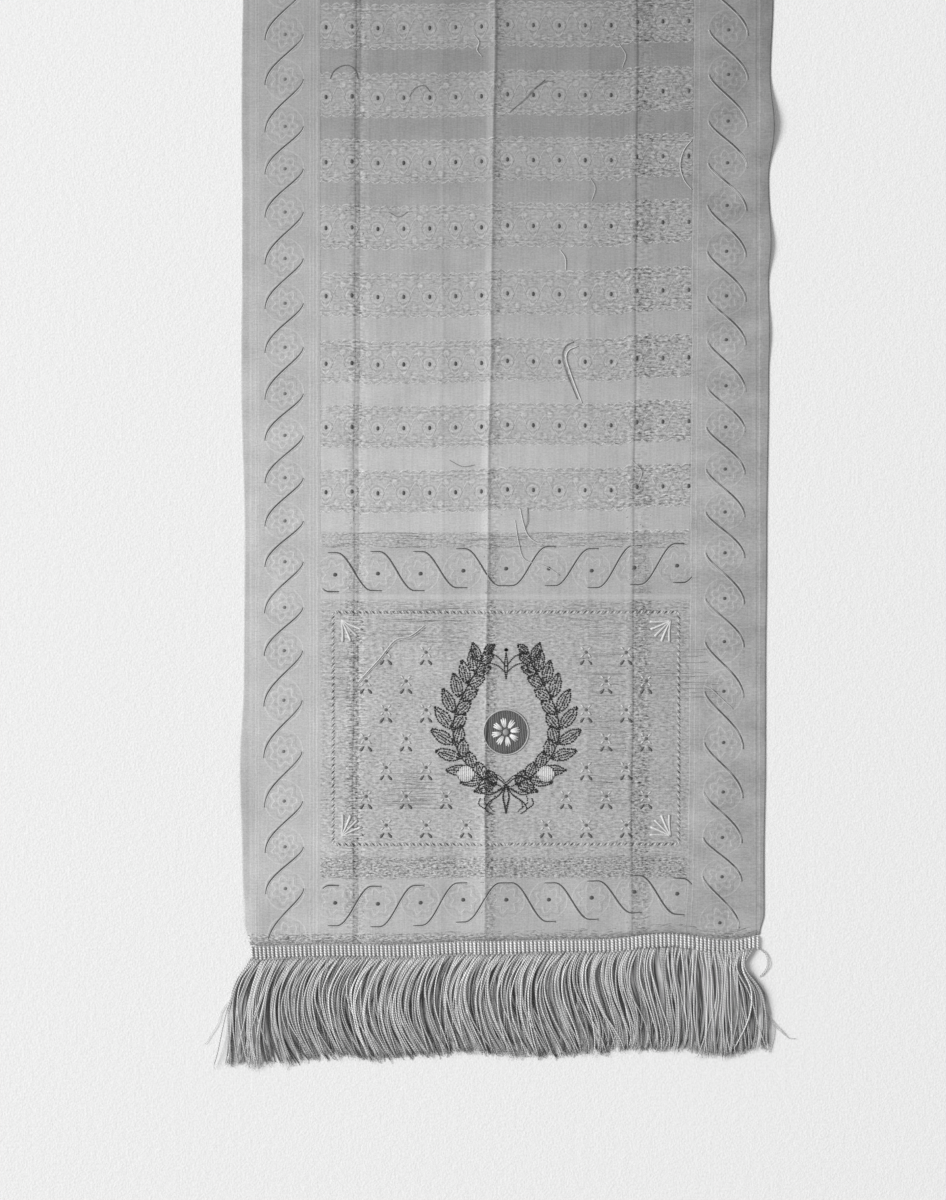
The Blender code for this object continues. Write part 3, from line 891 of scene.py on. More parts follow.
def weave_head_rows(dark, turn):
    """The two rows of large dots, with scrolls that run out from the middle to both sides."""
    shape = head_scroll(24)
    tail = shape[shape[:, 0] > 17]
    for name, flip in HEAD_ROWS:
        for number in range(-HEAD_ROW_SIDE, HEAD_ROW_SIDE + 1):
            across = HEAD_CENTRE + number * HEAD_ROW_PITCH
            along = float(eased(HEAD_ROW_LINES, "across", name, across))
            dark.bead(placed(across, along, turn), 0.3, 2.9, 2.6, 0.35, 1.1 * DARK)
            if number != 0:
                places = across + (-1 if number > 0 else 1) * shape[:, 0]
                line = eased(HEAD_ROW_LINES, "across", name, places)
                scroll_line(dark, places, line + flip * shape[:, 1], turn)
        for inward in (1, -1):
            across = HEAD_CENTRE - inward * (HEAD_ROW_SIDE + 1) * HEAD_ROW_PITCH + inward * tail[:, 0]
            keep = np.abs(across) < FIELD_EDGE
            if keep.sum() > 3:
                line = eased(HEAD_ROW_LINES, "across", name, across[keep])
                scroll_line(dark, across[keep], line + flip * tail[keep, 1], turn)


# The cord's lay, half the length of its stitches and their slant.
ROPE = {"lay": 4.2, "size": 1.9, "slant": 0.75}


def rope(pile, route, turn, mirror):
    """A twisted cord drawn in silk: slanted stitches, pale and dark by turns, along a route."""
    shape = bent(route, 40 * len(route))
    shape[:, 0] = HEAD_CENTRE + mirror * shape[:, 0]
    run = measured(shape)
    at = np.arange(ROPE["lay"] / 4, run[-1], ROPE["lay"] / 2)
    centre, after = (
        np.stack([np.interp(places, run, shape[:, column]) for column in (0, 1)]) for places in (at, at + 1)
    )
    heading = np.arctan2(*(after - centre)[::-1]) + mirror * ROPE["slant"]
    half = ROPE["size"] * np.stack([np.cos(heading), np.sin(heading)])
    is_dark = np.arange(len(at)) % 2 == 1
    uneven = 0.75 + 0.35 * np.sin(2.9 * np.arange(len(at)))
    grey = np.where(is_dark, MIDDLE * 0.9 * uneven, 0.95 * PALE)
    starts, ends = placed(*(centre - half), turn), placed(*(centre + half), turn)
    pile.stitches(starts, ends, np.where(is_dark, 1.1, 1.3), 0.32, grey)


# The head panel: a twisted rope frames it, with a palmette in each corner, and small flowers are sown in
# half-drop rows round the wreath. Sizes in mm, across from the sash's centre line.
FRAME = {"across": 108.0, "low": 60.0, "high": 205.0}
PALMETTE = {"inset": 5.0, "strands": 5, "spread": 0.72, "length": 15.0}
SPRIGS = {"across": 25.0, "along": 18.0, "side": 13.0, "end": 12.0, "columns": 5}
WREATH_CLEAR = {"across": 50.0, "along": 62.0}


def weave_frame(pile, turn):
    """The rope round the head panel, and its corner palmettes."""
    reach, low, high = FRAME["across"], FRAME["low"], FRAME["high"]
    for mirror in (-1, 1):
        for route in (
            ((0, low), (reach / 2, low), (reach, low)),
            ((0, high), (reach / 2, high), (reach, high)),
            ((reach, low), (reach, (low + high) / 2), (reach, high)),
        ):
            rope(pile, route, turn, mirror)
        for along, up in ((low, 1), (high, -1)):
            palmette(pile, reach - PALMETTE["inset"], along + up * PALMETTE["inset"], mirror, up, turn)


def palmette(pile, across, along, mirror, up, turn):
    """Pale strands that fan out from a corner towards the panel's middle, each with a dark thread beside it
    as a painted shadow.
    """
    steps = np.linspace(0.02, 1.0, 10)
    swell = np.linspace(0.55, 1.0, 10)
    for number in range(PALMETTE["strands"]):
        share = number / (PALMETTE["strands"] - 1) - 0.5
        angle = math.pi / 4 + 2 * share * PALMETTE["spread"] - 0.3 * share * (1 - steps)
        length = PALMETTE["length"] * (1 - 0.5 * share * share) * (1 + 0.05 * math.sin(5.3 * number))
        x = HEAD_CENTRE + mirror * (across - steps * length * np.cos(angle))
        y = along + up * steps * length * np.sin(angle)
        pile.tube(placed(x, y, turn, 0.1), 1.5 * swell, 0.8 * swell, 0.62 + 0.1 * (number % 2), sides=6)
        # A dark thread beside each strand, offset to the right and towards the sewn end: a painted shadow.
        pile.tube(placed(x + 0.9 * swell, y - 0.4 * swell, turn), 0.7 * swell, 0.25, 1.2 * MIDDLE)


def sprig(pile, across, along, turn):
    """A small flower: a dark eye, four pale petals and two dark leaves."""
    pile.bead(placed(across, along, turn), 0.0, 2.5, 2.3, 0.3, 1.8 * DARK)
    for quarter in range(4):
        angle = math.pi / 4 + quarter * math.pi / 2
        away = np.array([1.9, 3.2, 4.6])
        path = placed(across + away * math.cos(angle), along + away * math.sin(angle), turn, 0.05)
        pile.tube(path, np.array([0.7, 1.4, 0.6]), 0.35, PALE)
    leaf_share = np.linspace(-0.5, 0.5, 6)
    for side in (-1, 1):
        x = across + side * 2.4 + leaf_share * 3.8 * math.sin(side * 0.7)
        y = along - 6.4 - leaf_share * 3.8 * math.cos(side * 0.7)
        pile.tube(placed(x, y, turn, 0.05), np.array([0.7, 1.1, 1.45, 1.75, 1.7, 1.0]), 0.4, 1.5 * DARK)


def weave_sprigs(pile, turn):
    """Flowers in half-drop rows, clear of the frame and the wreath."""
    rows = int((FRAME["high"] - FRAME["low"] - 2 * SPRIGS["end"]) / SPRIGS["along"]) + 1
    for row in range(rows):
        along = FRAME["low"] + SPRIGS["end"] + row * SPRIGS["along"]
        for column in range(-SPRIGS["columns"], SPRIGS["columns"] + 1):
            across = (column + 0.5 * (row % 2)) * SPRIGS["across"]
            from_wreath = math.hypot(
                across / WREATH_CLEAR["across"], (along - WREATH_MIDDLE["along"]) / WREATH_CLEAR["along"]
            )
            in_corner = abs(across) > 85 and (row == 0 or row == rows - 1)
            if abs(across) < FRAME["across"] - SPRIGS["side"] + 1 and from_wreath > 1 and not in_corner:
                sprig(pile, HEAD_CENTRE + across, along, turn)


# The generic design in the middle of the head panel: a wreath of leafy sprays in black chain stitch,
# tied below, round a dark medallion with a pale blossom. Places are from its middle, in mm.
WREATH_MIDDLE = {"across": -0.6, "along": 133.0}
SPRAY = ((3, -37), (15, -31), (27, -20), (33, -5), (31, 11), (24, 26), (17, 38), (14, 47))
LEAVES = {"count": 12, "first": 0.05, "length": 16.5, "width": 6.2, "lean": 0.7}
BOW = (
    ((0, -36), (-7, -31), (-15, -33), (-17, -39), (-10, -42), (0, -37)),
    ((0, -37), (-5, -43), (-10, -46), (-13, -51), (-9, -54)),
    ((0, -37), (-2, -43), (-1, -49), (0, -54)),
    ((-13, -51), (-17, -48), (-16, -44)),
)
SPRIG = (
    ((0, 30), (1, 38), (0, 47)),
    ((0, 34), (6, 39), (12, 40), (14, 36)),
    ((0, 38), (5, 44), (9, 46)),
)
MEDALLION = {"radius": 14.0, "petals": 8, "petal": 6.2, "along": -3.0}
BUD = {"across": 25.0, "along": -29.0, "size": 5.0}
SPRIG_BEADS = ((0, 48.5), (14.0, 35.0), (9.8, 47.0))
# A leaf's edge and its inner vein: shares of its length, and of half its width.
LEAF_EDGE = ((0.1, 0.15), (0.35, 0.92), (0.62, 0.95), (0.85, 0.5), (1.0, 0.05))
LEAF_VEIN = ((0.28, 0.42), (0.52, 0.5), (0.74, 0.36))
CHAIN = {"step": 1.2, "width": 1.55, "height": 0.4, "grey": 0.012, "reach": 1.12, "lift": 0.12}


def chain(pile, route, turn, mirror, width=CHAIN["width"], step=CHAIN["step"], jitter=None):
    """Chain stitch along a route from the wreath's middle: one short black stitch after another."""
    shape = bent(route, 16 * len(route))
    run = measured(shape)
    at = np.arange(0.0, run[-1], step)
    starts, ends = (
        np.stack([
            WREATH_MIDDLE["across"] + mirror * np.interp(places, run, shape[:, 0]),
            WREATH_MIDDLE["along"] + np.interp(places, run, shape[:, 1]),
        ])
        for places in (at, at + CHAIN["reach"] * step)
    )
    shift = 0.0 if jitter is None else jitter.normal(0, 0.16, (2, len(at)))
    starts, ends = (placed(*(places + shift), turn, CHAIN["lift"]) for places in (starts, ends))
    pile.stitches(starts, ends, width, CHAIN["height"], CHAIN["grey"])


def leaf(pile, root, heading, length, width, turn, mirror, jitter):
    """A leaf of a midrib, two edges and short veins, with the cloth showing between them."""
    ahead = np.array([math.cos(heading), math.sin(heading)])
    aside = np.array([-ahead[1], ahead[0]])
    midrib = [root, root + ahead * length * 0.5, root + ahead * length]
    chain(pile, midrib, turn, mirror, jitter=jitter)
    for side in (-1, 1):
        edge, vein = (
            [root + ahead * length * along + aside * side * width / 2 * out for along, out in shape]
            for shape in (LEAF_EDGE, LEAF_VEIN)
        )
        chain(pile, edge, turn, mirror, jitter=jitter)
        if width > 4.5:
            chain(pile, vein, turn, mirror, width=1.0, step=1.3, jitter=jitter)


def work_wreath(pile, turn):
    """The wreath's two sprays, its bow and its sprig, and the buds and medallion inside it."""
    jitter = np.random.default_rng(12)
    spray = bent(SPRAY, 60)
    last = LEAVES["count"] - 1
    for mirror in (-1, 1):
        chain(pile, SPRAY, turn, mirror, width=1.2)
        for number in range(LEAVES["count"]):
            share = LEAVES["first"] + (1 - LEAVES["first"]) * number / last
            place = min(58, int(share * 58))
            heading = math.atan2(*(spray[place + 1] - spray[place])[::-1])
            size = 0.62 + 0.5 * math.sin(math.pi * (0.15 + 0.75 * share))
            for side, lean, shorter in ((-1, 1.0, 1.0), (1, 0.85, 0.72)):
                if number == last and side < 0:
                    continue
                turned = heading + side * LEAVES["lean"] * lean
                length = LEAVES["length"] * size * shorter
                leaf(pile, spray[place], turned, length, LEAVES["width"] * size, turn, mirror, jitter)
        for route in BOW:
            chain(pile, route, turn, mirror, width=1.3)
            chain(pile, [(x * 0.8, y + 1.4) for x, y in route], turn, mirror, width=0.9, jitter=jitter)
        for route in SPRIG:
            chain(pile, route, turn, mirror, width=1.2)
        for x, y in SPRIG_BEADS:
            spot = placed(WREATH_MIDDLE["across"] + mirror * x, WREATH_MIDDLE["along"] + y, turn, 0.1)
            pile.bead(spot, 0.0, 2.6, 2.4, 0.5, 0.02)
        work_bud(pile, turn, mirror)
    work_medallion(pile, turn)


def work_bud(pile, turn, mirror):
    """A pale satin-stitched bud with a dark edge."""
    across = WREATH_MIDDLE["across"] + mirror * BUD["across"]
    along = WREATH_MIDDLE["along"] + BUD["along"]
    rows = 9
    for row in range(rows):
        aside = (row / (rows - 1) - 0.5) * 1.9 * BUD["size"]
        half = math.sqrt(max(0.0, BUD["size"] ** 2 - aside * aside))
        path = placed([across + aside] * 3, [along - half, along, along + half], turn, 0.25)
        pile.tube(path, 1.25, 0.6, 0.66 + 0.05 * (row % 2), sides=6)
    angle = np.linspace(0, 2 * math.pi, 30)
    rim = 1.08 * BUD["size"]
    pile.tube(placed(across + rim * np.cos(angle), along + rim * np.sin(angle), turn, 0.1), 0.55, 0.4, 0.12)


def work_medallion(pile, turn):
    """The round of dark satin stitch and its pale blossom."""
    across = WREATH_MIDDLE["across"]
    along = WREATH_MIDDLE["along"] + MEDALLION["along"]
    reach = MEDALLION["radius"]
    rows = 26
    for row in range(rows):
        aside = (row / (rows - 1) - 0.5) * 1.96 * reach
        half = math.sqrt(reach * reach - aside * aside)
        span = np.linspace(-half, half, 9)
        path = placed(across + span * 0.08 + aside, along + span, turn, 0.2)
        pile.tube(path, 1.25, 0.5, 0.115 + 0.02 * math.sin(2.1 * row), sides=5)
    angle = np.linspace(0, 2 * math.pi, 64)
    pile.tube(placed(across + reach * np.cos(angle), along + reach * np.sin(angle), turn, 0.3), 1.0, 0.7, 0.5)
    for number in range(MEDALLION["petals"]):
        turned = 2 * math.pi * number / MEDALLION["petals"] + 0.2
        for row in (-1, 0, 1):
            start = 2.9 + 0.5 * abs(row)
            end = start + MEDALLION["petal"] - 1.0 * abs(row)
            away = np.array([start, (start + end) / 2, end])
            c, s = math.cos(turned + 0.16 * row), math.sin(turned + 0.16 * row)
            path = placed(across + c * away, along + s * away, turn, 0.55)
            pile.tube(path, np.array([0.8, 1.3, 0.8]), 0.55, 0.78, sides=6)
    pile.bead(placed(across, along, turn, 0.5), 0.0, 4.2, 4.2, 0.7, 0.3, corners=14)


# The fringe: ribs of the sewn heading, and threads in layers that hang from them.
RIBS = 126
RIB = {"width": 1.6, "height": 1.2, "steps": 8, "lean": 0.7}
# The heading's backing strip: its height, its grey, darker than the ribs' as painted shade between them, and
# its lowest place.
HEADING_BACK = {"height": 0.9, "grey": 0.5, "lowest": 0.46}
THREADS = {"a rib": 6, "width": 0.82, "height": 0.8, "steps": 22, "layers": 4, "layer": 0.72}
# Thread greys by layer, from the lowest up: the lower layers are painted darker, as shade under the layers
# above.
THREAD_GREYS_WITH_PAINTED_SHADE = (0.16, 0.3, 0.47, 0.62)
# Threads lie in locks of a few ribs. Each lock bends and ends in its own way, and its threads
# draw together below the heading. Sizes in mm.
LOCK = {"ribs": 2.7, "bend": 1.5, "end": 2.4, "pinch": 0.45}
# The last ribs' threads start inward before they hang out again.
TUCK = {"from": 142.0, "full": 154.0, "by": 9.5, "at": 0.19, "reach": 0.17}
# The tips' fuzz makes up for this much of the threads' length.
TIP_TRIM = 3.0
# Sideways sweep of the threads, as in the solids, and how far their tips stay short of the sash's end.
SWEEP = table(
    ("root", "third", "two thirds", "tip", "short"),
    (-161, -11.0, -14.0, -15.0, 0), (-128, -11.5, -11.0, -3.0, 1), (-108, -11.5, -11.0, -2.0, 5),
    (-79, -11.5, -11.0, -2.5, 3), (-30, -11.0, -10.0, -2.0, 5), (20, -9.5, -6.5, 1.5, 2),
    (67, -5.0, 2.0, 5.0, 4.5), (100, -0.5, 2.0, 0.5, 2), (128, 2.5, 3.5, 2.5, 1.5), (158, 1.5, 2.5, 2.0, 4.5),
)
# Threads lie in clumps that drift along them.
CLUMP = {"size": 12.0, "swing": 2.6, "drift": 17.0, "seed": 31}
# Stray threads: their width, and their places across and down from the cloth's straight end.
STRAYS = (
    (0.5, ((-172, 36), (-178, 44), (-180.5, 52), (-184.5, 58.5), (-188.5, 65))),
    (0.7, ((155, 31), (160, 40), (165.5, 50), (172, 57), (175.5, 61), (180, 61.5))),
    (0.5, ((157, 39), (163, 47), (167, 53.5), (175.5, 61))),
    (0.7, ((161, 47), (165.5, 51), (166.7, 55), (166.3, 60), (165.3, 65), (163.8, 70))),
    (0.6, ((162, 48), (164.5, 51.5), (163.9, 55), (161.9, 60), (160.4, 65))),
    (0.9, ((154, 4), (159, 6.5), (162, 9.6), (162.6, 14.8), (161.3, 18.6), (157.5, 23))),
    (0.6, ((155, 4), (161, 7), (164, 12.8), (163.4, 17.3), (159, 22.5))),
    (0.8, ((154, 22), (157.5, 27.5), (161.5, 33.6), (163, 39), (164.6, 46.7))),
    (0.8, ((153, 20), (156, 28), (160, 35), (162, 43), (162.5, 52))),
)


def heading_top(across):
    """The heading's upper edge, as a distance from the cloth's straight end towards the tips."""
    return eased(END_LINE, "across", "wander", across) + SEAM_GAP


def fringe_points(across, down, height):
    """Points of the near fringe, from places across and distances down from the cloth's straight end."""
    across = np.asarray(across, float)
    down = np.broadcast_to(np.asarray(down, float), across.shape)
    return np.stack([across, -CLOTH_END - down, np.broadcast_to(height, across.shape)], axis=-1)


def work_heading(pile, roots):
    """A backing strip, darker than the ribs as painted shade in the gaps between them, with one rounded rib
    after another over it.
    """
    rise = np.maximum(cloth_top(roots, -CLOTH_END) - 0.35, HEADING_BACK["lowest"])
    back = fringe_points(roots, heading_top(roots) + HEADING_DEPTH / 2, rise - 0.1)
    pile.tube(back, (HEADING_DEPTH - 1.0) * math.sqrt(2), HEADING_BACK["height"], HEADING_BACK["grey"],
              phase=math.pi / 4)
    wobble = np.random.default_rng(40)
    for root, base in zip(roots, rise):
        share = np.linspace(0.0, 1.0, RIB["steps"])
        lean = RIB["lean"] * (0.5 - 0.45 * root / 160.0) * share ** 1.5 + wobble.normal(0, 0.08)
        down = heading_top(root) + HEADING_DEPTH * (1 + wobble.normal(0, 0.06)) * share
        swell = np.minimum(1.0, 0.35 + 6 * share)
        level = base + 0.75 * np.minimum(1.0, 5 * share) * (1 - 0.25 * share ** 3)
        grey = 0.62 + wobble.normal(0, 0.04)
        path = fringe_points(root + lean, down, level)
        pile.tube(path, RIB["width"] * swell, RIB["height"] * swell, grey, sides=6)


def sweep_of(root, share):
    """How far a thread has moved aside at shares of its length."""
    places = [0.0] + [float(eased(SWEEP, "root", name, root)) for name in ("third", "two thirds", "tip")]
    return np.polyval(np.polyfit([0.0, 1 / 3, 2 / 3, 1.0], places, 3), share)


def thread_route(draw, root, layer, lock):
    """One thread's places: across, down from its rib's foot, and up."""
    share = np.linspace(0.0, 1.0, THREADS["steps"])
    drifted = CLUMP["drift"] * share + 40.0 * layer
    clump = CLUMP["swing"] * lumps(root, drifted, CLUMP["size"], CLUMP["seed"])
    drawn_in = (lock["root"] - root) * LOCK["pinch"] * np.minimum(1.0, 6 * share) * (1.1 - 0.6 * share)
    of_lock = lock["bend"] * np.sin(math.pi * share) + lock["end"] * share ** 2
    own = draw.normal(0, 0.8) * np.sin(math.pi * share) + draw.normal(0, 1.6) * share ** 2
    own = own + 0.35 * np.sin(draw.uniform(7, 14) * share + draw.uniform(0, 6)) * np.minimum(1.0, 3 * share)
    if draw.random() < (0.26 if layer == THREADS["layers"] - 1 else 0.12):
        own = own + draw.choice([-1, 1]) * draw.uniform(3, 11) * share ** draw.uniform(1.0, 2.2)
    far_right = min(1.0, max(0.0, (root - TUCK["from"]) / (TUCK["full"] - TUCK["from"])))
    tuck = TUCK["by"] * far_right * np.exp(-((share - TUCK["at"]) / TUCK["reach"]) ** 2)
    aside = sweep_of(root, share) * lock["sweep"] + clump * np.minimum(1.0, 1.6 * share)
    across = root + draw.normal(0, 0.35) + aside + drawn_in + of_lock + own - tuck
    short = float(eased(SWEEP, "root", "short", root)) + TIP_TRIM
    length = FRINGE_DROP - short + lock["longer"] + draw.normal(0, 0.9)
    length -= (draw.random() < 0.06) * draw.uniform(3, 12)
    lying = 0.7 + THREADS["layer"] * layer + 0.25 * np.sin(7 * share + draw.uniform(0, 6))
    height = 1.9 + (lying - 1.9) * np.minimum(1.0, 4.5 * share)
    return across, share * length, np.maximum(0.45, height * (1 - 0.3 * share ** 4))


def work_locks(draw, roots):
    """The lock that each rib's threads join in each layer: where it begins and how it lies."""
    gathered = {}
    count = int(RIBS / LOCK["ribs"]) + 2
    for layer in range(THREADS["layers"]):
        starts = (np.arange(count) + 0.37 * layer) * LOCK["ribs"] - 1.0
        starts = starts + draw.normal(0, 0.25 * LOCK["ribs"], count)
        place = np.searchsorted(np.sort(starts), np.arange(RIBS))
        for rib in range(RIBS):
            gathered.setdefault((layer, place[rib]), []).append(rib)
    found = {}
    for (layer, _), ribs in gathered.items():
        lock = {
            "root": float(np.mean(roots[ribs])),
            "bend": draw.normal(0, LOCK["bend"]),
            "end": draw.normal(0, LOCK["end"]),
            "sweep": 1 + draw.normal(0, 0.1),
            "longer": draw.normal(0, 0.7),
            "tone": 1 + draw.normal(0, 0.03),
        }
        found.update({(layer, rib): lock for rib in ribs})
    return found


def work_fringe(pile):
    """Every thread of one fringe, with fuzz at its tips, and a few that stray."""
    draw = np.random.default_rng(50)
    left, right = float(line_at("left selvedge", -CLOTH_END)), float(line_at("right selvedge", -CLOTH_END))
    roots = left + (right - left) * (np.arange(RIBS) + 0.5) / RIBS
    work_heading(pile, roots)
    locks = work_locks(draw, roots)
    for rib, root in enumerate(roots):
        foot = float(heading_top(root)) + HEADING_DEPTH
        for number in range(THREADS["a rib"]):
            layer = (number + draw.integers(0, THREADS["layers"])) % THREADS["layers"]
            lock = locks[layer, rib]
            across, down, height = thread_route(draw, root, layer, lock)
            share = np.linspace(0, 1, len(down))
            # Each thread's grey carries its layer's painted shade; near the root it is lifted towards the top
            # layer's grey, as painted light against the rib ends' shade.
            grey = THREAD_GREYS_WITH_PAINTED_SHADE[layer] * (1 + draw.normal(0, 0.17)) * lock["tone"]
            painted_light_by_root = (THREAD_GREYS_WITH_PAINTED_SHADE[-1] - grey) * np.exp(-share / 0.07) * 0.6
            tone = (grey + painted_light_by_root) * (1 - 0.22 * share ** 2)
            path = fringe_points(across, foot + down - draw.uniform(0.2, 1.2), height)
            swell = 1 - 0.25 * share ** 8
            pile.tube(path, THREADS["width"] * swell, THREADS["height"] * swell, tone)
            work_fuzz(pile, draw, path, 0.8 * grey)
    for width, route in STRAYS:
        shape = bent(route, 18)
        path = fringe_points(shape[:, 0], shape[:, 1], 0.7)
        pile.tube(path, 0.6 * width, 0.6 * width, 0.55, sides=5)


def work_fuzz(pile, draw, path, grey):
    """Two loose fibres at a thread's tip."""
    ahead = path[-1] - path[-3]
    ahead /= np.linalg.norm(ahead)
    aside = np.array([-ahead[1], ahead[0], 0.0])
    for _ in range(2):
        length = abs(draw.normal(1.7, 0.8))
        bend = draw.normal(0, 0.35)
        steps = np.array([-0.2, 0.5, 1.0])[:, None] * length
        fibre = path[-1] + ahead * steps + aside * steps * (bend + 0.15 * steps * draw.normal(0, 1))
        fibre[:, 2] = np.maximum(fibre[:, 2] - [0, 0.2, 0.4], 0.25)
        pile.tube(fibre, 0.26, 0.22, grey, sides=3)


# Loose and broken threads on the cloth: grey, width, and places across and along in mm.
LOOSE_THREADS = (
    (0.75, 0.75, ((44.4, 371.3), (38.8, 368.8), (36.9, 363.8), (39.4, 355.1), (43.1, 345), (46.9, 335.7))),
    (0.16, 0.5, ((42, 374), (36.5, 371), (34.5, 364.5), (37, 355), (41, 345), (44, 338))),
    (0.16, 0.5, ((-110.6, 538.2), (-108.1, 543.2), (-103.1, 546.3), (-98.1, 546.3), (-94.4, 542.6),
                 (-93.1, 538.2))),
    (0.68, 0.55, ((115.6, 500), (110.6, 493.8), (108.1, 484.4), (110.6, 475), (115.6, 468.8))),
    (0.7, 0.55, ((33.1, 431.3), (36.3, 426.3), (36.9, 418.8))),
    (0.7, 0.6, ((8.1, 270.1), (10, 261.3), (12.5, 253.8), (16.9, 249.4), (22.5, 246.9))),
    (0.66, 0.5, ((5, 262.6), (7.5, 247), (11.3, 237.6), (23.8, 233.8), (33, 228))),
    (0.2, 0.45, ((13, 270), (12.8, 262), (11, 256))),
    (0.66, 0.5, ((-20.6, 565.7), (-17.5, 561.3), (-18.8, 556.3), (-15.6, 552))),
    (0.8, 0.55, ((-51.3, 196.9), (-60.6, 190.1), (-70, 187.6), (-79.4, 176.3), (-93.1, 161.3))),
    (0.6, 0.35, ((-50.8, 195.6), (-60.2, 188.9), (-69.8, 186.2), (-79, 175.2), (-92.8, 160.3))),
    (0.17, 0.45, ((23.8, 537.6), (16.3, 531.3), (10.6, 525.1), (1.9, 517.6))),
    (0.2, 0.4, ((30, 536), (24, 536.5), (17, 532))),
    (0.68, 0.45, ((123.8, 158.8), (127.5, 157), (133, 152), (141.3, 144.4))),
    (0.2, 0.4, ((-61, 527), (-58, 532), (-52, 534), (-48, 530))),
    (0.62, 0.4, ((70, 560), (74, 553), (72, 545))),
    (0.62, 0.4, ((52, 476), (55, 470), (53, 462))),
    (0.22, 0.35, ((-74, 455), (-68, 452), (-62, 455))),
    (0.62, 0.4, ((78, 300), (84, 293), (82, 285))),
    (0.22, 0.35, ((-36, 300), (-28, 296), (-20, 297))),
)

# Worn places: short loose wefts lie across the cloth, thickest near the folds. Sizes in mm.
WORN = table(
    ("low", "high", "left", "right", "count", "length"),
    (186, 211, -82, -20, 30, 34), (186, 211, 30, 116, 34, 22), (150, 180, -114, -92, 26, 14),
    (150, 182, 36, 76, 26, 22), (150, 182, 84, 134, 34, 26), (82, 104, -80, -36, 38, 30),
    (84, 140, 44, 80, 56, 16), (245, 255, -116, 116, 150, 11), (39, 53, -116, 116, 300, 5),
    (0, 6, -158, 158, 420, 4),
)
WORN_GREYS = [0.25, 0.29, 0.33, 0.47, 0.51]
CREASE_SPECKLE = table(
    ("fold", "aside", "reach", "count"),
    ("left valley", 1.0, 6.5, 900), ("right valley", 2.5, 9.0, 600), ("ridge", 2.0, 6.0, 500),
)
SPECKLE_GREYS = [0.22, 0.26, 0.3, 0.5, 0.56]


def lay_loose_threads(pile, turn):
    """Loose threads, and the short loose wefts of the worn places."""
    draw = np.random.default_rng(60)
    for grey, width, route in LOOSE_THREADS:
        shape = bent(route, 22)
        path = placed(shape[:, 0], shape[:, 1], turn)
        path[:, 2] += 0.2 + 0.35 * np.sin(np.linspace(0, math.pi, 22))
        pile.tube(path, 0.85 * width, 0.8 * width, grey, sides=5)
    for zone in WORN:
        for _ in range(zone["count"]):
            length = zone["length"] * draw.uniform(0.35, 1.4)
            start = draw.uniform(zone["left"], max(zone["left"] + 1, zone["right"] - length))
            along = draw.uniform(zone["low"], zone["high"])
            grey = draw.choice(WORN_GREYS)
            x = np.linspace(start, min(start + length, zone["right"] + 4), 2 + int(length / 5))
            y = along + 0.5 * lumps(x, 0 * x + along, 6.0, 61) + draw.normal(0, 0.02) * (x - start)
            pile.tube(placed(x, y, turn, 0.03), 0.26, 0.12, grey, sides=3)


def lay_crease_speckle(pile, turn):
    """Frayed and lifted stitches of the figured bands along the folds."""
    draw = np.random.default_rng(70)
    bands = field_rows()
    for zone in CREASE_SPECKLE:
        along = draw.uniform(0, CLOTH_END, zone["count"])
        figured = np.abs(along[:, None] - bands[None, :]).min(axis=1) < 14.5
        figured |= (along < 266) & (np.abs(along - 215) > 2)
        along = along[figured | (draw.random(zone["count"]) < 0.08)]
        count = len(along)
        fold = line_at(zone["fold"], turn * (along - CLOTH_END))
        across = turn * (fold + zone["aside"] + draw.normal(0, 0.5, count) * zone["reach"])
        heading = draw.choice([0.0, 1.57, 0.8, -0.8], count) + draw.normal(0, 0.25, count)
        half = draw.uniform(0.35, 0.95, count)
        x, y = half * np.cos(heading), half * np.sin(heading)
        grey = draw.choice(SPECKLE_GREYS, count)
        starts, ends = placed(across - x, along - y, turn, 0.05), placed(across + x, along + y, turn, 0.05)
        pile.stitches(starts, ends, 0.42, 0.22, grey)


# The floor's half width and its place under the sash, in m.
FLOOR = {"reach": 14.0, "under": -0.0001}
# The photograph frames 591 by 750 mm of the surface, seen straight down.
VIEW_CENTRE = (-0.0212, -1.2106)
VIEW_HEIGHT = 0.75
CAMERA_HEIGHT = 3.0
SENSOR = 36.0
# The lights: strengths, the sun's width and the lamps' tilts in degrees, and the lamp's size and place in m.
ROOM = 0.42
KEY = {"energy": 2.5, "width": 26.0, "tilt": (-10.0, -56.0, 0.0)}
SIDE = {"energy": 36.0, "size": 2.4, "at": (-3.18, -0.79, 2.2), "tilt": (0.0, -56.0, 0.0)}


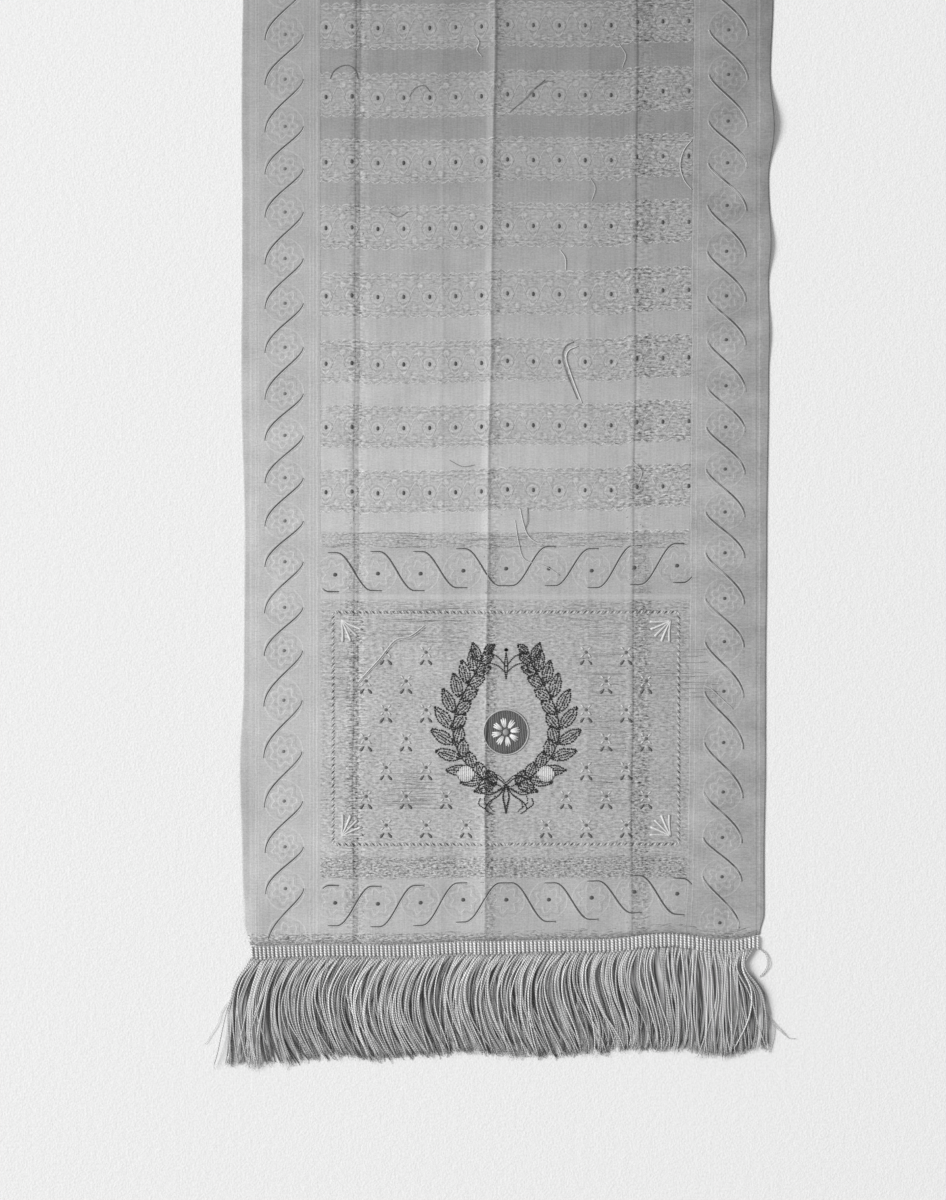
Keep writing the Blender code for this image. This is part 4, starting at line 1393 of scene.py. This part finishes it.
def put_stage():
    corners = np.array([(-1, -1, 0), (1, -1, 0), (1, 1, 0), (-1, 1, 0)]) * FLOOR["reach"] / MM
    floor = put_mesh("floor", corners, [(0, 1, 2, 3)], paper(), {})
    floor.location.z = FLOOR["under"]


def put_camera():
    lens = bpy.data.cameras.new("camera")
    lens.sensor_width = SENSOR
    lens.lens = SENSOR * CAMERA_HEIGHT / VIEW_HEIGHT
    lens.clip_end = 100.0
    camera = put("camera", lens)
    camera.location = (*VIEW_CENTRE, CAMERA_HEIGHT)
    bpy.context.scene.camera = camera


def put_lights():
    """A soft low key from the photograph's left, a weaker lamp on that side and a pale room."""
    bpy.context.scene.view_settings.view_transform = "Standard"
    world = bpy.data.worlds.new("studio")
    world.use_nodes = True
    background = world.node_tree.nodes["Background"]
    background.inputs["Color"].default_value = (1, 1, 1, 1)
    background.inputs["Strength"].default_value = ROOM
    bpy.context.scene.world = world
    key = bpy.data.lights.new("key", "SUN")
    key.energy = KEY["energy"]
    key.angle = math.radians(KEY["width"])
    put("key", key).rotation_euler = [math.radians(angle) for angle in KEY["tilt"]]
    side = bpy.data.lights.new("side", "AREA")
    side.energy = SIDE["energy"]
    side.size = SIDE["size"]
    lamp = put("side", side)
    lamp.location = SIDE["at"]
    lamp.rotation_euler = [math.radians(angle) for angle in SIDE["tilt"]]


put_camera()
put_lights()
put_stage()
cloth = make_cloth()
figure_silk = plain_thread("figure_silk", 0.5)
fringe_silk = plain_thread("fringe_silk", 0.55, ply=1.6, twisted=0.42)

repeats = Pile()
panels = Pile()
wear = Pile()
for turn in TURNS:
    weave_borders(repeats, turn)
    weave_field(repeats, turn)
    weave_head_rows(repeats, turn)
    weave_frame(panels, turn)
    weave_sprigs(panels, turn)
    work_wreath(panels, turn)
    lay_loose_threads(wear, turn)
    lay_crease_speckle(wear, turn)
woven = [
    repeats.make("woven_repeats", figure_silk),
    panels.make("head_panels", figure_silk),
    wear.make("worn_threads", figure_silk),
]

fringe = Pile()
work_fringe(fringe)
for name, turn in (("near", 1), ("far", -1)):
    piece = fringe.make("fringe_threads_" + name, fringe_silk, turn)
    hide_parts("fringe_" + name)
    woven.append(piece)
